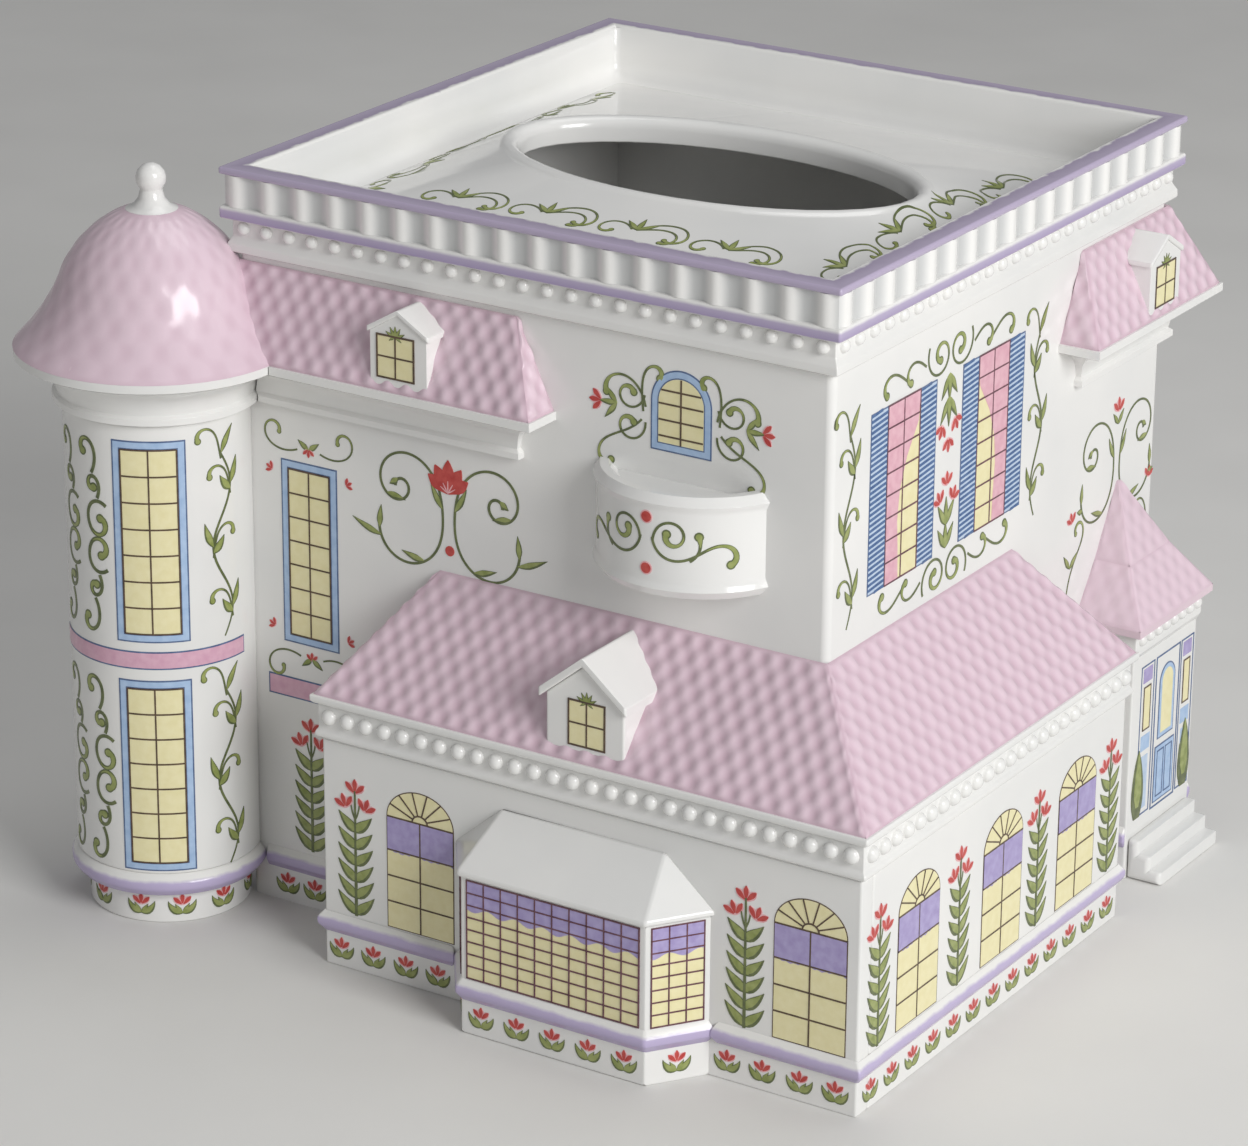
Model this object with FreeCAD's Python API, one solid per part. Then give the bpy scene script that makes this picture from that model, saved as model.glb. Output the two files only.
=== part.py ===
import FreeCAD, Part
import math
import os

Vector = FreeCAD.Vector

# A glazed porcelain tissue box cover in the form of a villa with a corner turret.
# Lengths are millimetres. X runs right along the front, Y to the back and Z up.
# The origin is the middle of the tissue box hollow, level with the table.

# Shared by all castings
cut_overrun = 5.0
curve_gap = 0.3
full_turn = 360
quarter_turn = 90

# House block
house_half = 63.5
house_wall = 4.5
house_top = 129.2
house_corner_radius = 1.5

# Base band round every foot
base_band_bottom = 6.7
base_band_height = 4.5
base_band_proud = 1.2
base_band_shares = (0.35, 0.65)

# Beads of all cornices
bead_sides = 6
bead_tip_share = 0.45
bead_seat = 0.4

# Bead cornice of the house
fascia_height = 3.6
fascia_proud = 1.5
fascia_shares = (0.2, 0.6)
bead_band_height = 3.4
bead_band_proud = 0.7
house_bead_count = 25
house_bead_radius = 1.15
house_bead_proud = 1.0

# Parapet
rail_height = 2.4
rail_proud = 2.5
reed_height = 6.0
reed_backing_proud = 0.9
reed_count = 18
reed_chord_share = 0.78
reed_sagitta = 1.3
reed_facets = 6
rim_height = 1.4
rim_width = 4.5

# Roof deck with the oval slot
deck_seat_height = 1.8
deck_edge_height = 4.2
deck_border = 3.5
deck_corner_power = 12
deck_facets = 40
deck_hollow_border = 6.5
deck_hollow_rise = 6.0
slot_half_length = 41.5
slot_half_width = 22.7
lip_radius = 2.2
lip_rise = 6.8
lip_angles = (40, 65, 90, 115, 145, 180)

# Turret
turret_left_reach = 13.7
turret_front_reach = 7.9
turret_radius = 17.7
turret_bore = 13.0
turret_plinth_radius = 15.5
turret_sides = 48

# Moulding under the turret dome and the mansards
eave_foot = 101.2
eave_bead_height = 2.4
eave_bead_proud = 1.8
eave_bead_shares = (0.25, 0.75)
eave_neck_proud = 1.1
eave_cove_height = 6.4
eave_cove_out = 6.9
eave_cove_steps = 4
eave_lip_height = 2.0
eave_lip_share = 0.2
eave_overhang = 8.7
eave_hollow_inset = 5.0

# Turret dome, radii and heights above the eave
dome_flare_radius = 20.5
dome_flare_rise = 7.0
dome_waist_radius = 17.6
dome_waist_rise = 12.5
dome_crown_radius = 13.0
dome_crown_rise = 20.0
dome_top_radius = 5.0
dome_rise = 25.6
dome_steps = 4
dome_shell = 4.0

# Finial on the dome
finial_neck_radius = 2.1
finial_neck_rise = 3.6
finial_skirt_share = 0.45
finial_ball_radius = 2.85
finial_tip_radius = 0.6
finial_height = 8.6
finial_sides = 24
finial_skirt_steps = 3
finial_ball_steps = 5

# Mansards
mansard_rise = 16.3
mansard_setback = 0.5
mansard_top_proud = 0.4
front_mansard_length = 61.4
right_mansard_length = 34.5

# Dormers of the mansards
small_dormer_half = 6.2
small_dormer_wall_rise = 11.0
small_dormer_ridge_rise = 15.8
small_dormer_reach = 7.8
small_dormer_base_rise = 1.0
small_dormer_overhang = 0.5
small_dormer_eave = 0.6
small_dormer_roof_drop = 1.1
front_dormer_from_left = 41.3
right_dormer_from_back = 15.3

# Balcony
balcony_from_right = 30.5
balcony_half = 17.6
balcony_reach = 11.4
balcony_bottom = 86.4
balcony_height = 19.0
balcony_roll_height = 3.2
balcony_roll_proud = 0.6
balcony_rim_width = 2.2
balcony_recess = 1.6

# Wing round the front right corner
wing_front_reach = 17.8
wing_right_reach = 18.3
wing_front_length = 96.7
wing_from_back = 44.9
wing_wall = 4.0
wing_wall_top = 45.7
wing_cornice_height = 6.9
wing_cornice_proud = 0.5
wing_cornice_step = 1.0
wing_cornice_shares = (0.1, 0.22, 0.32)
wing_bead_share = 0.68
wing_bead_radius = 1.4
wing_bead_proud = 1.1
wing_front_bead_count = 28
wing_right_bead_count = 24
wing_eave_height = 2.0
wing_eave_proud = 1.7
wing_eave_share = 0.3
wing_roof_setback = 0.6
wing_roof_left_run = 14.4
wing_roof_back_run = 14.1
wing_roof_rise = 21.6
wing_roof_inset = 4.7

# Dormer of the wing
wing_dormer_half = 8.3
wing_dormer_wall_rise = 11.6
wing_dormer_ridge_rise = 20.2
wing_dormer_reach = 17.6
wing_dormer_overhang = 1.2
wing_dormer_eave = 1.0
wing_dormer_roof_drop = 1.8

# Bay on the front of the wing
bay_from_right = 57.4
bay_reach = 10.2
bay_front_half = 19.65
bay_root_half = 26.9
bay_wall = 3.0
bay_wall_top = 31.5
bay_eave_proud = 0.8
bay_eave_height = 1.0
bay_roof_rise = 9.7
bay_roof_top_half = 17.4
bay_roof_top_reach = 0.5

# Porch on the right wall
porch_from_back = 15.7
porch_half = 13.6
porch_reach = 12.0
porch_wall = 3.0
porch_wall_top = 46.2
porch_cornice_height = 5.6
porch_cornice_proud = 0.6
porch_cornice_shares = (0.2, 0.45)
porch_bead_share = 0.72
porch_bead_radius = 1.1
porch_bead_proud = 0.9
porch_bead_count = 8
porch_eave_height = 1.4
porch_overhang = 2.1
porch_roof_rise = 23.6
porch_roof_waist_share = 0.54
porch_roof_waist_rise_share = 0.42
porch_roof_tip_share = 0.03

# Steps in front of the porch
step_count = 3
step_rise = 2.8
step_depth = 2.5
steps_inset = 0.6

# Heights and faces that follow from the sizes above
base_band_top = base_band_bottom + base_band_height
bead_band_bottom = house_top + fascia_height
rail_bottom = bead_band_bottom + bead_band_height
reed_bottom = rail_bottom + rail_height
rim_bottom = reed_bottom + reed_height
parapet_top = rim_bottom + rim_height
parapet_outer = house_half + rail_proud
parapet_inner = parapet_outer - rim_width
house_inner = house_half - house_wall
deck_bottom = house_top + deck_seat_height
deck_border_top = deck_bottom + deck_edge_height
eave_neck = eave_foot + eave_bead_height
eave_lip = eave_neck + eave_cove_height
eave_top = eave_lip + eave_lip_height
mansard_top = eave_top + mansard_rise
wing_cornice_top = wing_wall_top + wing_cornice_height
wing_eave_top = wing_cornice_top + wing_eave_height
wing_roof_top = wing_eave_top + wing_roof_rise
turret_x = -house_half - turret_left_reach
turret_y = -house_half - turret_front_reach
front_mansard_end = front_mansard_length - house_half
right_mansard_end = house_half - right_mansard_length
front_dormer_x = front_dormer_from_left - house_half
right_dormer_y = house_half - right_dormer_from_back
balcony_x = house_half - balcony_from_right
wing_left = house_half - wing_front_length
wing_front = -house_half - wing_front_reach
wing_right = house_half + wing_right_reach
wing_back = house_half - wing_from_back
wing_roof_left = wing_left + wing_roof_left_run
wing_roof_back = wing_back - wing_roof_back_run
bay_x = wing_right - bay_from_right
porch_y = house_half - porch_from_back
porch_front = house_half + porch_reach
steps_half = porch_half - steps_inset
porch_cornice_top = porch_wall_top + porch_cornice_height
wing_rect = (wing_left, wing_front, wing_right, wing_back)
porch_rect = (house_inner, porch_y - porch_half, porch_front, porch_y + porch_half)


def square(half):
    """The rectangle of a square round the origin: left, front, right, back."""
    return (-half, -half, half, half)


def grown(rect, by, sides=(1, 1, 1, 1)):
    """A rectangle whose left, front, right and back sides move out where asked."""
    left, front, right, back = rect
    return (left - by * sides[0], front - by * sides[1], right + by * sides[2], back + by * sides[3])


def corners(rect):
    """The plan corners of a rectangle."""
    left, front, right, back = rect
    return [(left, front), (right, front), (right, back), (left, back)]


def closed_wire(points):
    """A closed wire of straight edges."""
    return Part.makePolygon(points + points[:1])


def plan_wire(points, height):
    """A closed wire through plan points at one height."""
    return closed_wire([Vector(x, y, height) for x, y in points])


def prism(points, bottom, top):
    """An upright solid over a plan polygon."""
    face = Part.Face(plan_wire(points, bottom))
    return face.extrude(Vector(0, 0, top - bottom))


def slab(rect, bottom, top):
    """An upright solid over a rectangle."""
    return prism(corners(rect), bottom, top)


def ring_solid(rings, twisted=False):
    """A flat-faced solid through rings of points, with split faces where the rings twist."""
    faces = [Part.Face(closed_wire(rings[0])), Part.Face(closed_wire(rings[-1]))]
    for low, high in zip(rings, rings[1:]):
        for i in range(len(low)):
            near, far = low[i - 1], low[i]
            over_near, over_far = high[i - 1], high[i]
            outlines = [[near, far, over_far, over_near]]
            if twisted:
                outlines = [[near, far, over_far], [near, over_far, over_near]]
            faces += [Part.Face(closed_wire(outline)) for outline in outlines]
    return Part.Solid(Part.Shell(faces))


def stack(sections, twisted=False):
    """A flat-faced solid through plan polygons, each given with its height."""
    rings = [[Vector(x, y, height) for x, y in points] for points, height in sections]
    return ring_solid(rings, twisted)


def moulding(rect, profile, sides=(1, 1, 1, 1)):
    """A body round a rectangle whose sides follow a profile of outward steps and heights."""
    return stack([(corners(grown(rect, out, sides)), height) for out, height in profile])


def turned(points, x, y):
    """A solid of revolution about an upright axis from corners of radius and height."""
    face = Part.Face(closed_wire([Vector(x + radius, y, height) for radius, height in points]))
    return face.revolve(Vector(x, y, 0), Vector(0, 0, 1), full_turn)


def many_sided(points, sides):
    """A many-sided round solid on the turret's axis from corners of radius and height, foot first."""
    rings = []
    for radius, height in points:
        ring = []
        for side in range(sides):
            angle = math.radians(full_turn * side / sides)
            x = turret_x + radius * math.cos(angle)
            ring.append(Vector(x, turret_y + radius * math.sin(angle), height))
        rings.append(ring)
    return ring_solid(rings)


def bent(start, middle, end, steps):
    """Corners of radius and height along an arc through three of them, without its start."""
    arc = Part.Arc(*[Vector(radius, 0, height) for radius, height in (start, middle, end)])
    return [(point.x, point.z) for point in arc.toShape().discretize(steps + 1)[1:]]


def quarter_turned(shape, turns=1):
    """A copy turned about the middle of the house, one turn takes the front to the right."""
    copy = shape.copy()
    copy.rotate(Vector(0, 0, 0), Vector(0, 0, 1), quarter_turn * turns)
    return copy


def rounded_block(half, radius, bottom, top):
    """A square block with round upright edges."""
    block = slab(square(half), bottom, top)
    upright = [edge for edge in block.Edges if edge.BoundBox.ZLength > edge.BoundBox.DiagonalLength / 2]
    return block.makeFillet(radius, upright)


def house_block():
    """The space the house fills, with edges sharp enough to stay clear of its round ones."""
    edge_radius = house_corner_radius - curve_gap / (math.sqrt(2) - 1)
    return rounded_block(house_half, edge_radius, -cut_overrun, house_top)


def solid_at(shape, x, y):
    """The one stretch of a cut base band that runs past a plan point."""
    place = Part.Vertex(x, y, base_band_bottom)
    return min(shape.Solids, key=lambda solid: solid.distToShape(place)[0])


def bead(x, face, height, radius, proud):
    """One bead on a face that looks to the front."""
    rings = []
    for depth, share in ((bead_seat, 1), (-proud, bead_tip_share)):
        points = []
        for side in range(bead_sides):
            angle = math.radians(full_turn * side / bead_sides)
            across = radius * share * math.cos(angle)
            up = radius * share * math.sin(angle)
            points.append(Vector(x + across, face + depth, height + up))
        rings.append(points)
    return ring_solid(rings)


def bead_row(start, end, count, face, height, radius, proud):
    """Evenly spaced beads along a face that looks to the front."""
    pitch = (end - start) / count
    return [bead(start + pitch * (i + 1 / 2), face, height, radius, proud) for i in range(count)]


def base_band_profile():
    """Outward steps and heights of the base band."""
    low_share, high_share = base_band_shares
    low = base_band_bottom + base_band_height * low_share
    high = base_band_bottom + base_band_height * high_share
    return [(0, base_band_bottom), (base_band_proud, low), (base_band_proud, high), (0, base_band_top)]


def eave_profile():
    """Outward steps and heights of the moulding under the upper roofs, from its foot up."""
    low_share, high_share = eave_bead_shares
    low = eave_foot + eave_bead_height * low_share
    high = eave_foot + eave_bead_height * high_share
    profile = [(0, eave_foot), (eave_bead_proud, low), (eave_bead_proud, high)]
    for step in range(eave_cove_steps + 1):
        angle = math.radians(quarter_turn * step / eave_cove_steps)
        out = eave_neck_proud + eave_cove_out * (1 - math.cos(angle))
        profile.append((out, eave_neck + eave_cove_height * math.sin(angle)))
    profile.append((eave_overhang, eave_lip + eave_lip_height * eave_lip_share))
    profile.append((eave_overhang, eave_top))
    return profile


# House block and parapet

def house_walls():
    """The square sleeve that goes over the tissue box."""
    outside = rounded_block(house_half, house_corner_radius, 0, house_top)
    return outside.cut(slab(square(house_inner), -cut_overrun, house_top + cut_overrun))


def house_base_band():
    """The base band round the house, left out where the wing, the porch and the turret stand."""
    low = base_band_bottom - cut_overrun
    high = base_band_top + cut_overrun
    band = moulding(square(house_half), base_band_profile())
    band = band.cut(house_block())
    band = band.cut(slab(grown(wing_rect, base_band_proud), low, high))
    band = band.cut(slab(grown(porch_rect, base_band_proud), low, high))
    turret_clear = turret_radius + base_band_proud + curve_gap
    return band.cut(Part.makeCylinder(turret_clear, high - low, Vector(turret_x, turret_y, low)))


def cornice_body():
    """The full body inside the outer faces of the house's bead cornice."""
    low_share, high_share = fascia_shares
    profile = [(0, house_top)]
    profile.append((fascia_proud, house_top + fascia_height * low_share))
    profile.append((fascia_proud, house_top + fascia_height * high_share))
    profile.append((bead_band_proud, bead_band_bottom))
    profile.append((bead_band_proud, rail_bottom))
    return moulding(square(house_half), profile)


def bead_cornice():
    """The ring of fascia and beads, with the ledge inside that carries the deck."""
    ring = cornice_body()
    ring = ring.cut(slab(square(house_inner), house_top - cut_overrun, rail_bottom + cut_overrun))
    ring = ring.cut(slab(square(parapet_inner), deck_bottom, rail_bottom + cut_overrun))
    half = house_half + bead_band_proud
    middle = bead_band_bottom + bead_band_height / 2
    row = bead_row(-half, half, house_bead_count, -half, middle, house_bead_radius, house_bead_proud)
    beads = [quarter_turned(one, side) for side in range(4) for one in row]
    return ring.multiFuse(beads)


def parapet_ring(bottom, top):
    """A plain square ring of the parapet."""
    ring = slab(square(parapet_outer), bottom, top)
    return ring.cut(slab(square(parapet_inner), bottom - cut_overrun, top + cut_overrun))


def reeded_wall():
    """The front wall of the parapet with its half-round reeds and mitred ends."""
    face = house_half + reed_backing_proud
    pitch = 2 * face / reed_count
    chord_half = pitch * reed_chord_share / 2
    points = [Vector(-parapet_inner, -parapet_inner, reed_bottom), Vector(-face, -face, reed_bottom)]
    for i in range(reed_count):
        middle = pitch * (i + 1 / 2) - face
        near = Vector(middle - chord_half, -face, reed_bottom)
        crest = Vector(middle, -face - reed_sagitta, reed_bottom)
        far = Vector(middle + chord_half, -face, reed_bottom)
        points += Part.Arc(near, crest, far).toShape().discretize(reed_facets + 1)
    points += [Vector(face, -face, reed_bottom), Vector(parapet_inner, -parapet_inner, reed_bottom)]
    return Part.Face(closed_wire(points)).extrude(Vector(0, 0, reed_height))


def soft_square(half):
    """The plan points of a square with round corners, spread evenly about its middle."""
    points = []
    for i in range(deck_facets):
        angle = math.radians(full_turn * i / deck_facets)
        across = math.cos(angle)
        along = math.sin(angle)
        spread = abs(across) ** deck_corner_power + abs(along) ** deck_corner_power
        reach = half / spread ** (1 / deck_corner_power)
        points.append((reach * across, reach * along))
    return points


def oval(outset):
    """The plan points of an oval round the slot, one for each point of a soft square."""
    points = []
    for i in range(deck_facets):
        angle = math.radians(full_turn * i / deck_facets)
        across = (slot_half_length + outset) * math.cos(angle)
        points.append((across, (slot_half_width + outset) * math.sin(angle)))
    return points


def roof_deck():
    """The deck that rises from a flat border to the rolled lip of the oval slot."""
    lip_middle = deck_border_top + lip_rise - lip_radius
    sections = [(soft_square(parapet_inner - deck_border), deck_border_top)]
    for angle in lip_angles:
        out = lip_radius * (1 + math.cos(math.radians(angle)))
        up = lip_radius * math.sin(math.radians(angle))
        sections.append((oval(out), lip_middle + up))
    plate = slab(square(parapet_inner), deck_bottom, deck_border_top)
    deck = plate.fuse(stack(sections, True))
    hollow_foot = (soft_square(parapet_inner - deck_hollow_border), deck_bottom)
    hollow_head = (oval(2 * lip_radius), deck_bottom + deck_hollow_rise)
    deck = deck.cut(stack([hollow_foot, hollow_head], True))
    return deck.cut(prism(oval(0), deck_bottom - cut_overrun, parapet_top))


# Turret

def turret_plinth():
    """The set-back foot of the turret."""
    foot = many_sided([(turret_plinth_radius, 0), (turret_plinth_radius, base_band_bottom)], turret_sides)
    return foot.cut(many_sided([(turret_bore, 0), (turret_bore, base_band_bottom)], turret_sides))


def turret_base_band():
    """The turret's base band, which also bridges from the plinth to the wall."""
    band = many_sided([(turret_radius + out, height) for out, height in base_band_profile()], turret_sides)
    bore = [(turret_bore, base_band_bottom), (turret_bore, base_band_top)]
    return band.cut(many_sided(bore, turret_sides)).cut(house_block())


def turret_wall():
    """The round wall of the turret, cut to fit the corner of the house."""
    points = [(turret_bore, base_band_top), (turret_radius, base_band_top)]
    points += [(turret_radius, eave_foot), (turret_bore, eave_foot)]
    return turned(points, turret_x, turret_y).cut(house_block())


def turret_eave():
    """The bead, cove and lip under the dome."""
    eave = many_sided([(turret_radius + out, height) for out, height in eave_profile()], turret_sides)
    hollow = [(turret_bore, eave_foot), (turret_bore, eave_neck)]
    hollow.append((turret_radius + eave_overhang - eave_hollow_inset, eave_top))
    return eave.cut(many_sided(hollow, turret_sides)).cut(house_block())


def dome_body(inset, gap):
    """The full bell-shaped body, moved in for the hollow or out for clearance."""
    places = [(turret_radius + eave_overhang, 0), (dome_flare_radius, dome_flare_rise)]
    places += [(dome_waist_radius, dome_waist_rise), (dome_crown_radius, dome_crown_rise)]
    places.append((dome_top_radius, dome_rise))
    bell = []
    for radius, rise in places:
        bell.append((radius - inset + gap, eave_top + rise - inset * rise / dome_rise))
    rim, flare, waist, crown, top = bell
    points = [rim] + bent(rim, flare, waist, dome_steps) + bent(waist, crown, top, dome_steps)
    return many_sided(points, turret_sides)


def turret_dome():
    """The hollow dome, cut to fit the house and its cornice."""
    dome = dome_body(0, 0).cut(dome_body(dome_shell, 0))
    return dome.cut(house_block()).cut(cornice_body())


def turret_clearance():
    """The turret's eave and dome with room for the castings that end against them."""
    eave = [(turret_radius + out + curve_gap, height) for out, height in eave_profile()]
    return many_sided(eave, turret_sides).fuse(dome_body(0, curve_gap))


def turret_finial():
    """The skirted neck and ball on top of the dome."""
    base = eave_top + dome_rise
    neck = base + finial_neck_rise
    ball_middle = base + finial_height - finial_ball_radius
    ball_start = ball_middle - math.sqrt(finial_ball_radius ** 2 - finial_neck_radius ** 2)
    waist = finial_neck_radius + (dome_top_radius - finial_neck_radius) * finial_skirt_share ** 2
    skirt = (dome_top_radius, base)
    bend = (waist, base + finial_neck_rise * finial_skirt_share)
    collar = (finial_neck_radius, neck)
    seat = (finial_neck_radius, ball_start)
    side = (finial_ball_radius, ball_middle)
    top = (finial_tip_radius, base + finial_height)
    points = [skirt] + bent(skirt, bend, collar, finial_skirt_steps)
    points += [seat] + bent(seat, side, top, finial_ball_steps)
    return many_sided(points, finial_sides)


# Upper roofs

front_sides = (0, 1, 1, 0)
front_mansard_rect = (-house_half, -house_half, front_mansard_end, 0)
corner_mansard_rect = (right_mansard_end, right_mansard_end, house_half, house_half)


def mansard_body(rect, sides):
    """The full sloping body of a mansard."""
    foot = eave_overhang - mansard_setback
    return moulding(rect, [(foot, eave_top), (mansard_top_proud, mansard_top)], sides)


def front_piece(shape):
    """A front roof casting cut to fit the house and the turret."""
    return shape.cut(house_block()).cut(turret_clearance())


def corner_piece(shape, turns):
    """One leg of a casting round the back right corner, mitred on the hip."""
    reach = 2 * house_half
    mitre = prism([(0, 0), (reach, 0), (reach, reach)], 0, parapet_top)
    if turns:
        mitre = prism([(0, 0), (reach, reach), (0, reach)], 0, parapet_top)
    return shape.cut(house_block()).common(mitre)


def gable(half, wall_top, ridge, drop, out, base):
    """The outlines of a dormer's body and of its roof, as distances across and heights."""
    slope = (ridge - drop - wall_top) / half
    low = ridge - slope * (half + out)
    body = [(-half, base), (-half, wall_top), (0, ridge - drop), (half, wall_top), (half, base)]
    roof = [(-half - out, low), (0, ridge), (half + out, low)]
    roof += [(half + out, low - drop), (0, ridge - drop), (-half - out, low - drop)]
    return body, roof


def gable_prism(points, middle, front, back):
    """A prism of a gable outline that runs from its front to the back."""
    wire = closed_wire([Vector(middle + across, front, height) for across, height in points])
    return Part.Face(wire).extrude(Vector(0, back - front, 0))


def small_dormer(middle, host):
    """A mansard dormer that faces the front, body and roof, seated on its host."""
    front = -house_half - small_dormer_reach
    wall_top = eave_top + small_dormer_wall_rise
    ridge = eave_top + small_dormer_ridge_rise
    base = eave_top + small_dormer_base_rise
    body, roof = gable(small_dormer_half, wall_top, ridge, small_dormer_roof_drop, small_dormer_eave, base)
    body_solid = gable_prism(body, middle, front, -house_half)
    roof_solid = gable_prism(roof, middle, front - small_dormer_overhang, -house_half)
    return body_solid.cut(host), roof_solid.cut(host)


def balcony():
    """The bow-fronted balcony with a roll at its foot and a rim round its recessed top."""
    radius = (balcony_half ** 2 + balcony_reach ** 2) / (2 * balcony_reach)
    middle_y = radius - house_half - balcony_reach
    top = balcony_bottom + balcony_height
    foot_roll = balcony_bottom + balcony_roll_height
    head_roll = top - balcony_roll_height
    inside = radius - balcony_rim_width
    points = [(0, balcony_bottom), (radius - balcony_roll_proud, balcony_bottom)]
    points += [(radius + balcony_roll_proud, (balcony_bottom + foot_roll) / 2), (radius, foot_roll)]
    points += [(radius, head_roll), (radius + balcony_roll_proud, (head_roll + top) / 2)]
    points += [(radius - balcony_roll_proud, top), (inside, top)]
    points += [(inside - balcony_recess, top - balcony_recess), (0, top - balcony_recess)]
    return turned(points, balcony_x, middle_y).cut(house_block())


# Wing

def wing_walls():
    """The four upright walls of the wing, front, right, left and back."""
    left, front, right, back = wing_rect
    inner_left, inner_front, inner_right, inner_back = grown(wing_rect, -wing_wall)
    rects = [(left, front, right, inner_front), (inner_right, inner_front, right, back)]
    rects += [(left, inner_front, inner_left, -house_half), (house_half, inner_back, inner_right, back)]
    return [slab(rect, 0, wing_wall_top) for rect in rects]


def wing_ring(profile):
    """A moulding on top of the wing walls, hollow like them and cut to fit the house."""
    low = profile[0][1] - cut_overrun
    high = profile[-1][1] + cut_overrun
    ring = moulding(wing_rect, profile).cut(slab(grown(wing_rect, -wing_wall), low, high))
    return ring.cut(house_block())


def wing_base_band():
    """The wing's base band, left out where the bay stands."""
    band = moulding(wing_rect, base_band_profile())
    band = band.cut(slab(wing_rect, base_band_bottom - cut_overrun, base_band_top + cut_overrun))
    band = band.cut(house_block())
    return band.cut(prism(bay_plan(base_band_proud), 0, bay_wall_top))


def wing_cornice():
    """The stepped cornice of the wing with its row of beads."""
    first_share, second_share, third_share = wing_cornice_shares
    profile = [(0, wing_wall_top)]
    profile.append((wing_cornice_step, wing_wall_top + wing_cornice_height * first_share))
    profile.append((wing_cornice_step, wing_wall_top + wing_cornice_height * second_share))
    profile.append((wing_cornice_proud, wing_wall_top + wing_cornice_height * third_share))
    profile.append((wing_cornice_proud, wing_cornice_top))
    height = wing_wall_top + wing_cornice_height * wing_bead_share
    face = wing_front - wing_cornice_proud
    size = (height, wing_bead_radius, wing_bead_proud)
    beads = bead_row(wing_left, wing_right, wing_front_bead_count, face, *size)
    face = -wing_right - wing_cornice_proud
    right_row = bead_row(wing_front, wing_back, wing_right_bead_count, face, *size)
    beads += [quarter_turned(one) for one in right_row]
    return wing_ring(profile).multiFuse(beads)


def wing_eave():
    """The white lip along the foot of the wing roof."""
    low = wing_cornice_top + wing_eave_height * wing_eave_share
    profile = [(wing_cornice_proud, wing_cornice_top), (wing_eave_proud, low)]
    profile.append((wing_eave_proud, wing_eave_top))
    return wing_ring(profile)


def wing_roof_body(inset):
    """The full body of the wing's hip roof, or of the hollow under it."""
    eave_rect = grown(wing_rect, wing_eave_proud - wing_roof_setback - inset)
    top_rect = grown((wing_roof_left, -house_half, house_half, wing_roof_back), -inset)
    return stack([(corners(eave_rect), wing_eave_top), (corners(top_rect), wing_roof_top)])


def wing_roof():
    """The hollow hip roof round the corner of the house."""
    return wing_roof_body(0).cut(wing_roof_body(wing_roof_inset)).cut(house_block())


def wing_dormer():
    """The gabled dormer on the front slope of the wing, body and roof."""
    front = -house_half - wing_dormer_reach
    wall_top = wing_eave_top + wing_dormer_wall_rise
    ridge = wing_eave_top + wing_dormer_ridge_rise
    half = wing_dormer_half
    body, roof = gable(half, wall_top, ridge, wing_dormer_roof_drop, wing_dormer_eave, wing_eave_top)
    body_solid = gable_prism(body, bay_x, front, -house_half)
    roof_solid = gable_prism(roof, bay_x, front - wing_dormer_overhang, -house_half)
    host = wing_roof_body(0)
    return body_solid.cut(host), roof_solid.cut(host)


# Bay

def bay_plan(out):
    """The plan of the bay with its three faces moved out by a distance."""
    slant = (bay_root_half - bay_front_half) / bay_reach
    along = math.sqrt(1 + slant ** 2)
    front_half = bay_front_half + out * (along - slant)
    root_half = bay_root_half + out * along
    front = wing_front - bay_reach - out
    plan = [(bay_x - root_half, wing_front), (bay_x - front_half, front)]
    return plan + [(bay_x + front_half, front), (bay_x + root_half, wing_front)]


def bay_walls():
    """The three walls of the bay, left, front and right, mitred at the corners."""
    outer = bay_plan(0)
    inner = bay_plan(-bay_wall)
    walls = []
    for i in range(3):
        plan = [outer[i], outer[i + 1], inner[i + 1], inner[i]]
        walls.append(prism(plan, 0, bay_wall_top))
    return walls


def bay_roof():
    """The low hip roof of the bay with its eave."""
    eave = bay_plan(bay_eave_proud)
    spread = bay_roof_top_reach * (bay_root_half - bay_front_half) / bay_reach
    top_front = wing_front - bay_roof_top_reach
    left = bay_x - bay_roof_top_half
    right = bay_x + bay_roof_top_half
    head = [(left - spread, wing_front), (left, top_front), (right, top_front), (right + spread, wing_front)]
    eave_top_height = bay_wall_top + bay_eave_height
    return stack([(eave, bay_wall_top), (eave, eave_top_height), (head, bay_wall_top + bay_roof_rise)])


def bay_base_band():
    """The base band round the bay."""
    band = stack([(bay_plan(out), height) for out, height in base_band_profile()])
    return band.cut(prism(bay_plan(0), base_band_bottom - cut_overrun, base_band_top + cut_overrun))


# Porch

porch_sides = (0, 1, 1, 1)


def porch_walls():
    """The three walls of the porch, front, near and far."""
    near = porch_y - porch_half
    far = porch_y + porch_half
    inner = porch_front - porch_wall
    rects = [(inner, near, porch_front, far), (house_half, near, inner, near + porch_wall)]
    rects.append((house_half, far - porch_wall, inner, far))
    return [slab(rect, 0, porch_wall_top) for rect in rects]


def porch_base_band():
    """The base bands on the two sides of the porch."""
    band = moulding(porch_rect, base_band_profile(), porch_sides)
    low = base_band_bottom - cut_overrun
    high = base_band_top + cut_overrun
    band = band.cut(slab(porch_rect, low, high)).cut(house_block())
    front_rect = grown(porch_rect, cut_overrun, porch_sides)
    return band.cut(slab((porch_front,) + front_rect[1:], low, high))


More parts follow.
